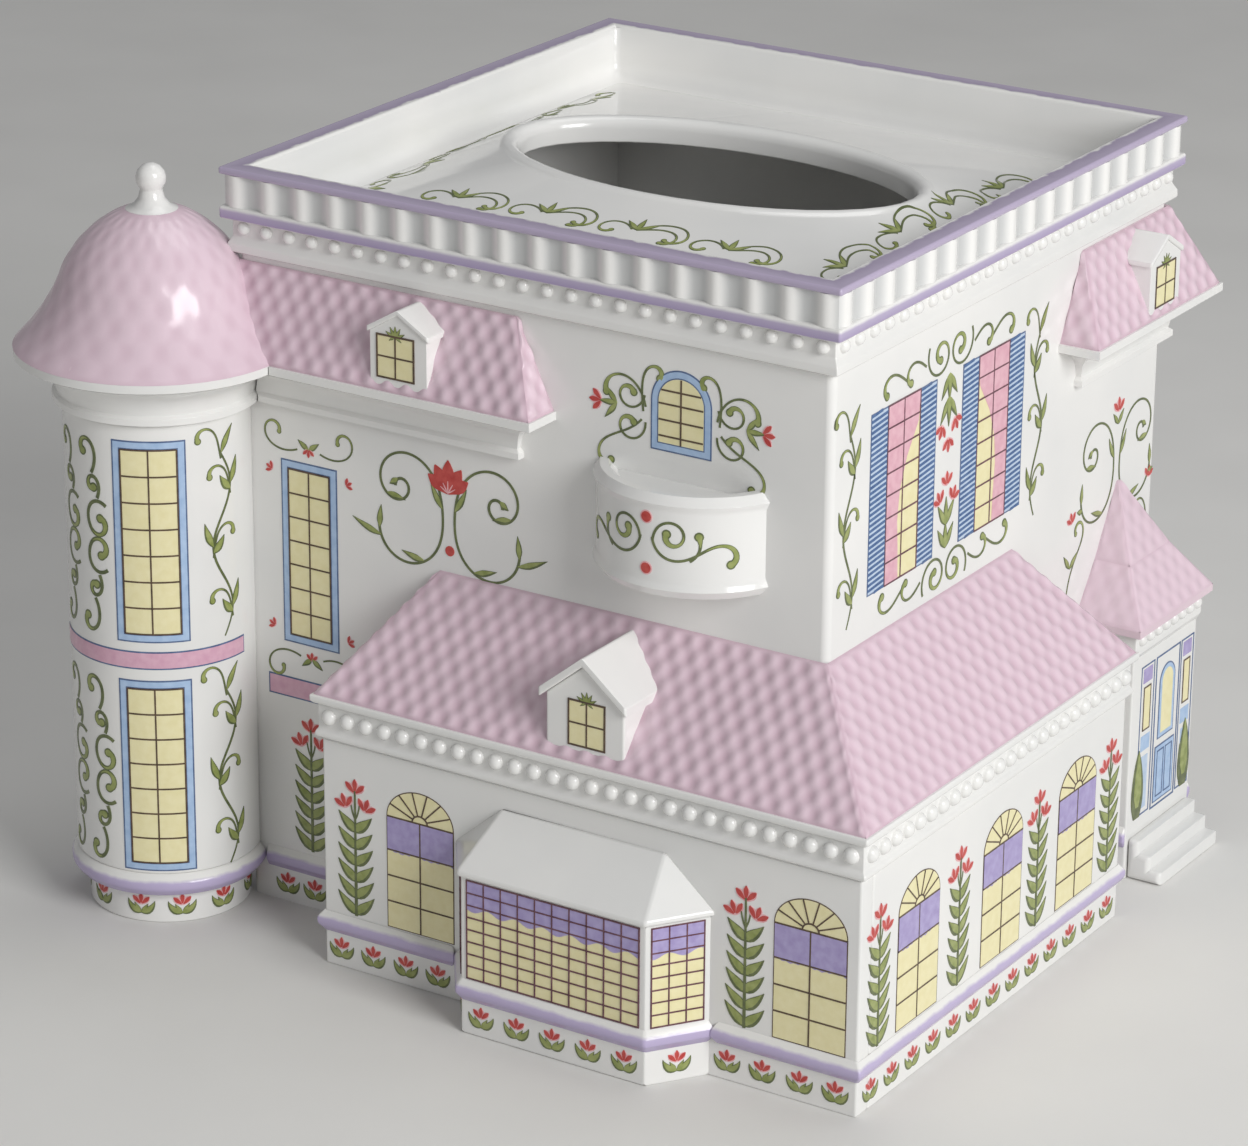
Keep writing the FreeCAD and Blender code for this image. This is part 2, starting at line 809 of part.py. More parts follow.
def porch_cornice():
    """The cornice of the porch with beads across its front."""
    low_share, high_share = porch_cornice_shares
    profile = [(0, porch_wall_top)]
    profile.append((porch_cornice_proud, porch_wall_top + porch_cornice_height * low_share))
    profile.append((porch_cornice_proud, porch_wall_top + porch_cornice_height * high_share))
    profile.append((porch_cornice_proud, porch_cornice_top))
    ring = moulding(porch_rect, profile, porch_sides)
    hollow = grown(porch_rect, -porch_wall, porch_sides)
    ring = ring.cut(slab(hollow, porch_wall_top - cut_overrun, porch_cornice_top + cut_overrun))
    ring = ring.cut(house_block())
    height = porch_wall_top + porch_cornice_height * porch_bead_share
    face = -porch_front - porch_cornice_proud
    start = porch_y - porch_half
    end = porch_y + porch_half
    row = bead_row(start, end, porch_bead_count, face, height, porch_bead_radius, porch_bead_proud)
    return ring.multiFuse([quarter_turned(one) for one in row])


def tent_section(share, height):
    """A rectangle of the tent roof, shrunk towards its peak on the house wall."""
    reach = (porch_reach + porch_overhang) * share
    half = (porch_half + porch_overhang) * share
    return corners((house_half - reach, porch_y - half, house_half + reach, porch_y + half)), height


def porch_roof():
    """The tent roof whose peak stands on the house wall."""
    lip = porch_cornice_top + porch_eave_height
    waist = lip + porch_roof_rise * porch_roof_waist_rise_share
    sections = [tent_section(1, porch_cornice_top), tent_section(1, lip)]
    sections.append(tent_section(porch_roof_waist_share, waist))
    sections.append(tent_section(porch_roof_tip_share, lip + porch_roof_rise))
    return stack(sections).cut(house_block())


def front_steps():
    """The steps up to the porch door."""
    points = [Vector(porch_front, porch_y - steps_half, 0)]
    for i in range(step_count):
        height = step_rise * (step_count - i)
        points.append(Vector(porch_front + step_depth * i, porch_y - steps_half, height))
        points.append(Vector(porch_front + step_depth * (i + 1), porch_y - steps_half, height))
    points.append(Vector(porch_front + step_depth * step_count, porch_y - steps_half, 0))
    return Part.Face(closed_wire(points)).extrude(Vector(0, 2 * steps_half, 0))


def all_pieces():
    """Every casting of the cover under its plain name."""
    pieces = {}
    pieces["house_walls"] = house_walls()
    house_band = house_base_band()
    pieces["house_front_base_band"] = solid_at(house_band, (wing_left - house_half) / 2, -house_half)
    pieces["house_side_base_band"] = solid_at(house_band, house_half, wing_back + 2 * base_band_proud)
    pieces["house_rear_base_band"] = solid_at(house_band, 0, house_half)
    pieces["bead_cornice"] = bead_cornice()
    pieces["parapet_rail"] = parapet_ring(rail_bottom, reed_bottom)
    for side, name in enumerate(("front", "right", "back", "left")):
        pieces["parapet_" + name] = quarter_turned(reeded_wall(), side)
    pieces["parapet_rim"] = parapet_ring(rim_bottom, parapet_top)
    pieces["roof_deck"] = roof_deck()

    pieces["turret_plinth"] = turret_plinth()
    pieces["turret_base_band"] = turret_base_band()
    pieces["turret_wall"] = turret_wall()
    pieces["turret_eave"] = turret_eave()
    pieces["turret_dome"] = turret_dome()
    pieces["turret_finial"] = turret_finial()

    front_host = mansard_body(front_mansard_rect, front_sides)
    corner_host = mansard_body(corner_mansard_rect, (1, 1, 1, 1))
    corner_eave = moulding(corner_mansard_rect, eave_profile())
    pieces["front_mansard"] = front_piece(front_host)
    pieces["front_mansard_eave"] = front_piece(moulding(front_mansard_rect, eave_profile(), front_sides))
    pieces["front_dormer"], pieces["front_dormer_roof"] = small_dormer(front_dormer_x, front_host)
    pieces["right_mansard"] = corner_piece(corner_host, 0)
    pieces["right_mansard_eave"] = corner_piece(corner_eave, 0)
    pieces["back_mansard"] = corner_piece(corner_host, 1)
    pieces["back_mansard_eave"] = corner_piece(corner_eave, 1)
    side_host = quarter_turned(corner_host, -1)
    body, roof = small_dormer(right_dormer_y, side_host)
    pieces["right_dormer"] = quarter_turned(body)
    pieces["right_dormer_roof"] = quarter_turned(roof)
    pieces["balcony"] = balcony()

    for name, wall in zip(("front", "right", "left", "back"), wing_walls()):
        pieces["wing_" + name + "_wall"] = wall
    wing_band = wing_base_band()
    pieces["wing_left_base_band"] = solid_at(wing_band, wing_left, wing_front)
    pieces["wing_right_base_band"] = solid_at(wing_band, wing_right, wing_back)
    pieces["wing_cornice"] = wing_cornice()
    pieces["wing_eave"] = wing_eave()
    pieces["wing_roof"] = wing_roof()
    pieces["wing_dormer"], pieces["wing_dormer_roof"] = wing_dormer()

    for name, wall in zip(("left", "front", "right"), bay_walls()):
        pieces["bay_" + name + "_wall"] = wall
    pieces["bay_roof"] = bay_roof()
    pieces["bay_base_band"] = bay_base_band()

    for name, wall in zip(("front", "near", "far"), porch_walls()):
        pieces["porch_" + name + "_wall"] = wall
    porch_band = porch_base_band()
    pieces["porch_near_base_band"] = solid_at(porch_band, house_half + porch_wall, porch_y - porch_half)
    pieces["porch_far_base_band"] = solid_at(porch_band, house_half + porch_wall, porch_y + porch_half)
    pieces["porch_cornice"] = porch_cornice()
    pieces["porch_roof"] = porch_roof()
    pieces["front_steps"] = front_steps()
    return pieces


os.makedirs("parts", exist_ok=True)
for node, shape in all_pieces().items():
    if len(shape.Solids) != 1:
        raise ValueError(node + " is not one solid")
    shape.Solids[0].exportStep("parts/" + node + ".step")
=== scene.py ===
import bmesh
import bpy
from math import atan2, ceil, cos, degrees, hypot, pi, radians, sin
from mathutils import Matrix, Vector
from mathutils.bvhtree import BVHTree


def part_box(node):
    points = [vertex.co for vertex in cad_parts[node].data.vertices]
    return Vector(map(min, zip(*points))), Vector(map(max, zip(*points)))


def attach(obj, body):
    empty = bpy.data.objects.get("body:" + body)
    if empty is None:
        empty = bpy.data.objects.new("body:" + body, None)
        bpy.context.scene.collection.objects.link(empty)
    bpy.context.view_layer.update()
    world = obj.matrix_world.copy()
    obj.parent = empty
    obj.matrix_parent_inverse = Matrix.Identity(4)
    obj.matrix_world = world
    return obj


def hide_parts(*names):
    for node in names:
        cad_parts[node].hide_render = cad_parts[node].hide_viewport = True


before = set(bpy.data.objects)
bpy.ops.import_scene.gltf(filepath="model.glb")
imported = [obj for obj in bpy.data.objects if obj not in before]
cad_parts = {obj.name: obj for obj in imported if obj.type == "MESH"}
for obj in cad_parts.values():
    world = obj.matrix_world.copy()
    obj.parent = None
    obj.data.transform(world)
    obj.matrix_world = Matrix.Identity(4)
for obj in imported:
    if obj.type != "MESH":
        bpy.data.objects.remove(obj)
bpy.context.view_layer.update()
scene = bpy.context.scene

# Glazed and painted looks of a porcelain tissue box cover in the form of a villa.
# Lengths below are millimetres, and a piece turns them into metres when it is made.
mm = 0.001


def linear(hex_colour):
    """An sRGB hex colour as linear red, green, blue and alpha."""
    channels = []
    for i in (0, 2, 4):
        value = int(hex_colour[i:i + 2], 16) / 255
        if value <= 0.04045:
            channels.append(value / 12.92)
        else:
            channels.append(((value + 0.055) / 1.055) ** 2.4)
    return channels + [1.0]


def span(node):
    """The lowest and highest corner of a CAD node in millimetres."""
    low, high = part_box(node)
    return [value / mm for value in low], [value / mm for value in high]


# Materials

def add_node(tree, kind, settings, links):
    """Adds one shader node, sets its values and joins outputs of other nodes to its inputs."""
    node = tree.nodes.new(kind)
    for name, value in settings.items():
        if isinstance(name, int) or name in node.inputs:
            node.inputs[name].default_value = value
        else:
            setattr(node, name, value)
    for name, output in links.items():
        tree.links.new(output, node.inputs[name])
    return node


def glazed(name, tones, roughness, mottle_size, wave_size, wave_depth, guide=None):
    """A glossy glazed surface with soft waves in its gloss, all sizes in millimetres.

    The tones are pairs of a place on the guide and a colour. The guide is a soft mottle if none is given.
    """
    material = bpy.data.materials.new(name)
    material.use_nodes = True
    tree = material.node_tree
    tree.nodes.clear()
    place = add_node(tree, "ShaderNodeTexCoord", {}, {}).outputs["Object"]
    mottle = add_node(tree, "ShaderNodeTexNoise", {"Scale": 1 / (mottle_size * mm), "Detail": 3.0},
                      {"Vector": place}).outputs["Fac"]
    drift = mottle
    if guide:
        value, waver = guide(tree, place)
        mixed = add_node(tree, "ShaderNodeMath", {"operation": "MULTIPLY_ADD", 1: waver},
                         {0: mottle, 2: value})
        drift = mixed.outputs["Value"]
    ramp = add_node(tree, "ShaderNodeValToRGB", {}, {"Fac": drift})
    stops = ramp.color_ramp.elements
    for position, tone in tones[2:]:
        stops.new(position)
    for stop, (position, tone) in zip(stops, tones):
        stop.position = position
        stop.color = linear(tone)
    wave = add_node(tree, "ShaderNodeTexNoise", {"Scale": 1 / (wave_size * mm), "Detail": 1.0},
                    {"Vector": place})
    bump = add_node(tree, "ShaderNodeBump", {"Strength": 1.0, "Distance": wave_depth * mm},
                    {"Height": wave.outputs["Fac"]})
    gloss = add_node(tree, "ShaderNodeMapRange", {"To Min": roughness * 0.8, "To Max": roughness * 1.2},
                     {"Value": mottle})
    surface = add_node(tree, "ShaderNodeBsdfPrincipled", {"IOR": 1.5},
                       {"Base Color": ramp.outputs["Color"], "Normal": bump.outputs["Normal"],
                        "Roughness": gloss.outputs["Result"]})
    add_node(tree, "ShaderNodeOutputMaterial", {}, {"Surface": surface.outputs["BSDF"]})
    return material


def by_crown(tree, place):
    """A guide along the pressed shingles from joint to crown. A guide also says how much it wavers."""
    return add_node(tree, "ShaderNodeAttribute", {"attribute_name": "crown"}, {}).outputs["Fac"], 0.5


def by_height(low, high):
    """A guide that rises from 0 to 1 between two heights, and wavers as a brush does."""
    def guide(tree, place):
        height = add_node(tree, "ShaderNodeSeparateXYZ", {}, {"Vector": place}).outputs["Z"]
        rise = add_node(tree, "ShaderNodeMapRange", {"From Min": low * mm, "From Max": high * mm},
                        {"Value": height})
        return rise.outputs["Result"], 0.12
    return guide


def by_reach(inner, outer):
    """A guide that grows outwards between two reaches from the middle of the parapet, and wavers."""
    def guide(tree, place):
        sides = add_node(tree, "ShaderNodeSeparateXYZ", {}, {"Vector": place})
        across = add_node(tree, "ShaderNodeMath", {"operation": "ABSOLUTE"}, {0: sides.outputs["X"]})
        along = add_node(tree, "ShaderNodeMath", {"operation": "ABSOLUTE"}, {0: sides.outputs["Y"]})
        reach = add_node(tree, "ShaderNodeMath", {"operation": "MAXIMUM"},
                         {0: across.outputs["Value"], 1: along.outputs["Value"]})
        grown = add_node(tree, "ShaderNodeMapRange", {"From Min": inner * mm, "From Max": outer * mm},
                         {"Value": reach.outputs["Value"]})
        return grown.outputs["Result"], 0.4
    return guide


# How two of the finishes lie on the body: the sizes of their mottle and waves are millimetres.
clear_glaze = {"roughness": 0.13, "mottle_size": 30, "wave_size": 9, "wave_depth": 0.03}
brushed_lilac = {"roughness": 0.14, "mottle_size": 3, "wave_size": 7, "wave_depth": 0.03}
white_body = "efeeeb"

# Slip-cast porcelain under a clear glaze: cool white, glossy, with a faint wave where the glaze ran.
white_porcelain = glazed("white_porcelain_clear_glaze", [(0.3, "e6e6e4"), (0.7, white_body)],
                         **clear_glaze)

# Pink glaze over smooth slopes: an even pale rose under a high gloss.
pink_porcelain = glazed("pink_porcelain_sprayed_glaze", [(0.3, "dec6d1"), (0.7, "e6d1da")],
                        roughness=0.16, mottle_size=10, wave_size=6, wave_depth=0.03)

# Pink glaze over pressed shingles, with painted light: a painted highlight makes the crowns a pale rose
# and painted shade makes the joints darker.
pink_shingles = glazed("pink_porcelain_painted_light_shingles", [(0.2, "d2b6c3"), (1.0, "e3ccd7")],
                       roughness=0.2, mottle_size=4, wave_size=6, wave_depth=0.03, guide=by_crown)

# Lilac brushed over the outer part of the rim: soft violet streaks that thin out to the white body.
rim_tones = [(0.42, white_body), (0.54, "a99db7"), (1.0, "b9adc6")]
rim_inner, rim_outer = 61, 66
lilac_rim = glazed("lilac_porcelain_brushed_rim", rim_tones,
                   guide=by_reach(rim_inner, rim_outer), **brushed_lilac)

# White porcelain over the ribs of the parapet, with painted shade: the hollows are painted grey and the
# crowns of the ribs stay white.
reed_floor = 64.9
reed_relief = 0.95
reeded_porcelain = glazed("white_porcelain_painted_hollow_shade", [(0.25, "d0d1d0"), (0.95, "f0efec")],
                          guide=by_reach(reed_floor, reed_floor + reed_relief), **clear_glaze)

# Lilac brushed along the lower part of the base bands: its upper edge wavers and fades into white.
band_tones = [(0.2, "b3a6c9"), (0.66, "c1b5d6"), (0.76, white_body)]
fade_low, fade_high = 6, 12
lilac_band = glazed("lilac_porcelain_brushed_band", band_tones,
                    guide=by_height(fade_low, fade_high), **brushed_lilac)

# Lilac brushed along the face of the lower rail: a soft violet line that fades into white on both sides.
rail_low, rail_high = span("parapet_rail")
rail_tones = [(0.06, white_body), (0.2, "ab9dc0"), (0.72, "bbb0cb"), (0.96, white_body)]
lilac_rail = glazed("lilac_porcelain_brushed_rail", rail_tones,
                    guide=by_height(rail_low[2], rail_high[2]), **brushed_lilac)


# Overglaze enamels of the painted windows and flowers: thin opaque colours, fused on in a last firing.
# They drift a little in tone and are less glossy than the glaze below them.
enamel_colours = (
    ("cream", "cream_printed", "ebe2b0", "f0e8bb"),
    ("umber", "umber_lined", "4a3a30", "66523f"),
    ("sky", "sky_blue_brushed", "a2bddf", "b3cbe8"),
    ("slate", "slate_blue_lined", "4d6188", "65799c"),
    ("leaf", "leaf_green_brushed", "87934f", "a4ac6c"),
    ("moss", "moss_green_brushed", "56603c", "717a50"),
    ("red", "poppy_red_brushed", "b83a36", "cc544d"),
    ("rose", "rose_washed", "e2a3a8", "efc0c2"),
    ("curtain", "rose_curtain_printed", "dda7b6", "e8bac5"),
    ("valance", "lilac_valance_printed", "a396c6", "b3a8d3"),
    ("shutter", "shutter_blue_lined", "3c5c8e", "50709f"),
    ("wash", "pale_blue_washed", "b4c8e0", "c5d5e8"),
    ("sash", "plum_lined", "5b3440", "77505a"),
    ("belt", "pink_belt_printed", "d6a5bb", "e0b5c7"),
)
enamels = {}
for colour, how, deep, pale in enamel_colours:
    enamels[colour] = glazed(how + "_enamel", [(0.32, deep), (0.68, pale)],
                             roughness=0.2, mottle_size=1.6, wave_size=2.5, wave_depth=0.006)


# Pieces

def piece(name, points, faces, glaze):
    """A visual piece from points in millimetres, fixed to the cover, smooth but for its sharp edges."""
    mesh = bpy.data.meshes.new(name)
    mesh.from_pydata([(x * mm, y * mm, z * mm) for x, y, z in points], [], faces)
    shell = bmesh.new()
    shell.from_mesh(mesh)
    bmesh.ops.recalc_face_normals(shell, faces=shell.faces)
    shell.to_mesh(mesh)
    shell.free()
    mesh.polygons.foreach_set("use_smooth", [True] * len(mesh.polygons))
    mesh.set_sharp_from_angle(angle=radians(50))
    mesh.materials.append(glaze)
    thing = bpy.data.objects.new(name, mesh)
    scene.collection.objects.link(thing)
    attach(thing, "root")
    return thing


def strip_faces(first, count):
    """Faces of a closed strip with its points in fours: two on its face, then the two behind them."""
    faces = []
    for k in range(count - 1):
        near = first + 4 * k
        far = near + 4
        faces += [(near, far, far + 1, near + 1), (near + 2, near + 3, far + 3, far + 2),
                  (near, near + 2, far + 2, far), (near + 1, far + 1, far + 3, near + 3)]
    last = first + 4 * (count - 1)
    return faces + [(first, first + 1, first + 3, first + 2), (last, last + 2, last + 3, last + 1)]


def ring_faces(first, rings, around):
    """Faces between rings of points that follow each other."""
    faces = []
    for ring in range(rings - 1):
        for side in range(around):
            corner = first + ring * around + side
            beside = first + ring * around + (side + 1) % around
            faces.append((corner, beside, beside + around, corner + around))
    return faces


def soften(node, glaze, width):
    """Gives a CAD casting its glaze and the soft edges that glaze leaves on porcelain."""
    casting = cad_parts[node]
    casting.data.materials.clear()
    casting.data.materials.append(glaze)
    weld = casting.modifiers.new("joined corners", "WELD")
    weld.merge_threshold = 0.002 * mm
    edges = casting.modifiers.new("soft edges", "BEVEL")
    edges.limit_method = "ANGLE"
    edges.angle_limit = radians(28)
    edges.width = width * mm
    edges.segments = 3
    edges.use_clamp_overlap = True
    shading = casting.modifiers.new("even gloss", "WEIGHTED_NORMAL")
    shading.weight = 60


pink_nodes = ("turret_dome", "front_mansard", "right_mansard", "back_mansard", "wing_roof", "porch_roof")
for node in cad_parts:
    if node == "parapet_rim":
        soften(node, lilac_rim, width=0.5)
    elif node == "parapet_rail":
        soften(node, lilac_rail, width=0.5)
    elif node == "front_steps":
        soften(node, white_porcelain, width=1.1)
    elif node.endswith("base_band"):
        soften(node, lilac_band, width=0.45)
    elif node in pink_nodes:
        soften(node, pink_porcelain, width=0.3)
    else:
        soften(node, white_porcelain, width=0.45)


# Pressed shingles

shingle_width = 4.1
shingle_rise = 3.15
shingle_relief = 0.5
skin_step = 0.42
skin_seat = 0.25
skin_lift = 0.04
skin_fade = 2


def shingle(across, up):
    """Height of the staggered shingles, 0 in the hollows between them and 1 on a crown."""
    side = cos(2 * pi * across / shingle_width)
    rise = sin(pi * up / shingle_rise)
    return 0.5 + 0.5 * side * rise


def shingled(name, points, faces, crowns):
    """A pink skin that keeps how near each of its points is to the crown of a shingle, which sets its
    painted highlight and painted shade.
    """
    skin = piece(name, points, faces, pink_shingles)
    marks = skin.data.attributes.new("crown", "FLOAT", "POINT")
    marks.data.foreach_set("value", crowns)


def roof_skin(name, low, high, foot_left, foot_right, head_right, head_left, relief, joint):
    """A shingled skin over a flat roof slope between two heights, closed underneath.

    A joint above 0 keeps the painted shade in the joints that much nearer to the tone of the painted
    highlight on the crowns.
    """
    corners = [Vector((*foot, low)) for foot in (foot_left, foot_right)]
    corners += [Vector((*head, high)) for head in (head_right, head_left)]
    along = (corners[1] - corners[0]).normalized()
    normal = along.cross(corners[2] - corners[0]).normalized()
    up = normal.cross(along).normalized()
    columns = max(4, round((corners[1] - corners[0]).length / skin_step))
    rows = max(4, round((corners[3] - corners[0]).length / skin_step))
    points = []
    crowns = []
    for j in range(rows + 1):
        start = corners[0].lerp(corners[3], j / rows)
        end = corners[1].lerp(corners[2], j / rows)
        for i in range(columns + 1):
            place = start.lerp(end, i / columns)
            offset = place - corners[0]
            height = shingle(place.dot(along), offset.dot(up))
            fade = min(1, min(i, columns - i, j, rows - j) / skin_fade)
            crowns.append(joint + (1 - joint) * height * fade)
            points.append(place + normal * (relief * height * fade + skin_lift * fade))
    wide = columns + 1
    faces = []
    for j in range(rows):
        for i in range(columns):
            corner = j * wide + i
            faces.append((corner, corner + 1, corner + wide + 1, corner + wide))
    rim = list(range(wide))
    rim += [j * wide + columns for j in range(1, rows + 1)]
    rim += [rows * wide + i for i in range(columns - 1, -1, -1)]
    rim += [j * wide for j in range(rows - 1, 0, -1)]
    under = len(points)
    points += [points[i] - normal * skin_seat for i in rim]
    crowns += [0] * len(rim)
    for k in range(len(rim)):
        following = (k + 1) % len(rim)
        faces.append((rim[k], rim[following], under + following, under + k))
    faces.append(tuple(under + k for k in range(len(rim))))
    shingled(name, points, faces, crowns)


def hip_skins(names, low, high, feet, heads, relief=shingle_relief, joint=0):
    """Skins over the slopes between a row of places at the foot of a roof and a row at its head."""
    for k, name in enumerate(names):
        roof_skin(name, low, high, feet[k], feet[k + 1], heads[k + 1], heads[k], relief, joint)


house_low, house_high = span("house_walls")
house_front = house_low[1]
house_right = house_high[0]

# Wing roof: two long slopes and the two short ones that run back to the house
left_x, front_y, eave_z = span("wing_roof")[0]
right_x, back_y, ridge_z = span("wing_roof")[1]
top_left = (-18.8, house_front)
top_back = (house_right, 4.5)
hip_skins(("wing_left_shingles", "wing_front_shingles", "wing_right_shingles", "wing_back_shingles"),
          eave_z, ridge_z, ((left_x, house_front), (left_x, front_y), (right_x, front_y),
                            (right_x, back_y), (house_right, back_y)),
          (top_left, top_left, (house_right, house_front), top_back, top_back))

# Mansards: the front one runs into the dome, the other two meet on the hip of the back corner
mansard_low, mansard_high = span("front_mansard")
foot_out = house_front - mansard_low[1]
head_out = 0.4
hip_run = foot_out - head_out
foot_y, head_y = house_front - foot_out, house_front - head_out
dome_side_foot, dome_side_head = -54, -64.5
front_end = mansard_high[0]
front_head = front_end - hip_run
hip_skins(("front_mansard_shingles", "front_mansard_end_shingles"), mansard_low[2], mansard_high[2],
          ((dome_side_foot, foot_y), (front_end, foot_y), (front_end, house_front)),
          ((dome_side_head, head_y), (front_head, head_y), (front_head, house_front)))
near_end = span("right_mansard")[0][1]
near_head = near_end + hip_run
outer, inner = house_right + foot_out, house_right + head_out
hip_skins(("right_mansard_end_shingles", "right_mansard_shingles", "back_mansard_shingles",
           "back_mansard_end_shingles"), mansard_low[2], mansard_high[2],
          ((house_right, near_end), (outer, near_end), (outer, outer), (near_end, outer),
           (near_end, house_right)),
          ((house_right, near_head), (inner, near_head), (inner, inner), (near_head, inner),
           (near_head, house_right)))

# Porch roof: a tent in two pitches, its tiles fainter than the shingles in relief and in their painted
# highlight and shade
# A level of the tent is the share of its reach that is left there, and a height.
tent_low, tent_high = span("porch_roof")
porch_y = (tent_low[1] + tent_high[1]) / 2
tent_lip = tent_low[2] + 1.4
tent_rise = tent_high[2] - tent_lip
tent_half = (tent_high[1] - tent_low[1]) / 2
tent_reach = tent_high[0] - house_right
tent_levels = ((1.0, tent_lip), (0.54, tent_lip + 0.42 * tent_rise), (0.03, tent_high[2]))
tent_rows = []
for share, height in tent_levels:
    x = house_right + tent_reach * share
    near, far = porch_y - tent_half * share, porch_y + tent_half * share
    tent_rows.append(((house_right, near), (x, near), (x, far), (house_right, far)))
for pitch, label in enumerate(("porch_lower_", "porch_upper_")):
    tiles = [label + side + "_tiles" for side in ("near", "front", "far")]
    hip_skins(tiles, tent_levels[pitch][1], tent_levels[pitch + 1][1],
              tent_rows[pitch], tent_rows[pitch + 1], relief=0.25, joint=0.5)

# Dome: a bell turned about the turret, its shingles larger and fainter than those of the roofs

turret_radius = 17.7
turret_low = span("turret_wall")[0]
turret_x = turret_low[0] + turret_radius
turret_y = turret_low[1] + turret_radius
dome_foot = span("turret_eave")[1][2]
dome_corners = ((26.4, 0), (20.5, 7.0), (17.6, 12.5), (13.0, 20.0), (5.0, 25.6))
dome_columns = 192
dome_rows = 34
dome_shingles = 22
dome_stretch = 0.75
dome_relief = 0.17
dome_joint = 0.4
dome_lift = 0.06
dome_fade = 3
dome_tuck = 0.6


def arc_through(start, middle, end, steps):
    """Places of radius and rise along the arc through three of them, without its end."""
    (ax, ay), (bx, by), (cx, cy) = start, middle, end
    divisor = 2 * (ax * (by - cy) + bx * (cy - ay) + cx * (ay - by))
    squares = (ax * ax + ay * ay, bx * bx + by * by, cx * cx + cy * cy)
    x = (squares[0] * (by - cy) + squares[1] * (cy - ay) + squares[2] * (ay - by)) / divisor
    y = (squares[0] * (cx - bx) + squares[1] * (ax - cx) + squares[2] * (bx - ax)) / divisor
    radius = hypot(ax - x, ay - y)
    first = atan2(ay - y, ax - x)
    sweep = (atan2(cy - y, cx - x) - first + pi) % (2 * pi) - pi
    angles = [first + sweep * k / steps for k in range(steps)]
    return [(x + radius * cos(angle), y + radius * sin(angle)) for angle in angles]


dome_profile = arc_through(*dome_corners[0:3], dome_rows) + arc_through(*dome_corners[2:5], dome_rows)
dome_profile.append(dome_corners[-1])
dome_points = []
dome_crowns = []
slope = 0
for j, (radius, rise) in enumerate(dome_profile):
    if j:
        slope += hypot(radius - dome_profile[j - 1][0], rise - dome_profile[j - 1][1])
    fade = min(1, j / dome_fade, (len(dome_profile) - 1 - j) / dome_fade)
    for i in range(dome_columns):
        turn = i / dome_columns
        height = shingle(turn * dome_shingles * shingle_width, slope * dome_stretch) * fade
        reach = radius + dome_lift * fade + dome_relief * height
        angle = 2 * pi * turn
        dome_points.append((turret_x + reach * cos(angle), turret_y + reach * sin(angle),
                            dome_foot + rise))
        # The crown value paints a highlight on the crowns of the dome and shade in its joints; dome_joint
        # keeps that painted shade lighter.
        dome_crowns.append(dome_joint + (1 - dome_joint) * height)
dome_faces = []
for face in ring_faces(0, len(dome_profile), dome_columns):
    x, y = dome_points[face[0]][:2]
    if x < house_low[0] + dome_tuck or y < house_front + dome_tuck:
        dome_faces.append(face)
shingled("turret_dome_shingles", dome_points, dome_faces, dome_crowns)


# Parapet: soft ribs side by side, nearly flush with the rail below them and the rim above

reed_count = 18
reed_margin = 0.33
reed_steps = 14
reed_inner = 61.5


def reed_rise(place):
    """How far a rib stands out at a place counted in ribs from its crown."""
    return reed_relief * (0.5 + 0.5 * cos(2 * pi * place)) ** 1.4


def ways(turn):
    """The way along a side of the house and the way out from it, a turn away from the front."""
    return Vector((cos(turn), sin(turn), 0)), Vector((sin(turn), -cos(turn), 0))


def reeded_wall(side, turn):
    """The ribs of one side, mitred at both ends, in the place of that side's casting."""
    low, high = span("parapet_" + side)
    across, out = ways(turn)
    ribs_wide = reed_count - 1 + 2 * reed_margin
    half = reed_floor + reed_rise(reed_margin)
    count = round(ribs_wide * reed_steps)
    points = []
    for k in range(count + 1):
        share = 2 * k / count - 1
        rise = reed_rise(ribs_wide * k / count - reed_margin)
        face = across * (share * half) + out * (reed_floor + rise)
        back = across * (share * reed_inner) + out * reed_inner
        for spot in (face, back):
            points += [spot + Vector((0, 0, low[2])), spot + Vector((0, 0, high[2]))]
    faces = strip_faces(0, count + 1)
    ribs = piece("parapet_" + side + "_reeds", points, faces, reeded_porcelain)
    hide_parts("parapet_" + side)


house_sides = ("front", "right", "back", "left")
for quarter, side in enumerate(house_sides):
    reeded_wall(side, pi / 2 * quarter)


# Roof well: the glaze runs in one smooth skin from the rim down the walls into a soft cove at the deck

well_half = span("roof_deck")[1][0]
rim_top = span("parapet_rim")[1][2]
deck_border = 135.2
lining_profile = ((0.0, rim_top - 0.5), (0.16, rim_top - 0.7), (0.16, 139.6), (0.26, 138.0), (0.6, 136.8),
                  (1.2, 135.9), (2.1, 135.4), (3.2, deck_border + 0.05), (3.6, deck_border - 0.1))
lining_corner = 1.6
lining_turns = 6


def well_ring(inset, height):
    """A square ring with soft corners, set in from the walls of the roof well."""
    half = well_half - inset
    middle = half - lining_corner
    points = []
    for corner in range(4):
        for k in range(lining_turns + 1):
            angle = pi / 2 * (corner + k / lining_turns)
            signs = ((1, 1), (-1, 1), (-1, -1), (1, -1))[corner]
            points.append((signs[0] * middle + lining_corner * cos(angle),
                           signs[1] * middle + lining_corner * sin(angle), height))
    return points


lining_points = []
for inset, height in lining_profile:
    lining_points += well_ring(inset, height)
lining_faces = ring_faces(0, len(lining_profile), 4 * (lining_turns + 1))
piece("roof_well_lining", lining_points, lining_faces, white_porcelain)


# Walls: each turns a place across and up a wall, and a lift off it, into a point

def flat(corner, across, out):
    """A flat wall through a corner on the table."""
    corner, across, out = Vector(corner), Vector(across).normalized(), Vector(out).normalized()

    def place(u, v, lift):
        return corner + across * u + Vector((0, 0, v)) + out * lift
    return place


def bowed(centre, radius, facing):
    """A round wall, with places across it counted from the way it faces."""
    def place(u, v, lift):
        angle = radians(facing) + u / radius
        reach = radius + lift
        return Vector((centre[0] + reach * cos(angle), centre[1] + reach * sin(angle), v))
    return place


def facing_front(y):
    """A flat wall that faces the front."""
    return flat((0, y, 0), (1, 0, 0), (0, -1, 0))


def facing_right(x):
    """A flat wall that faces the right."""
    return flat((x, 0, 0), (0, 1, 0), (1, 0, 0))


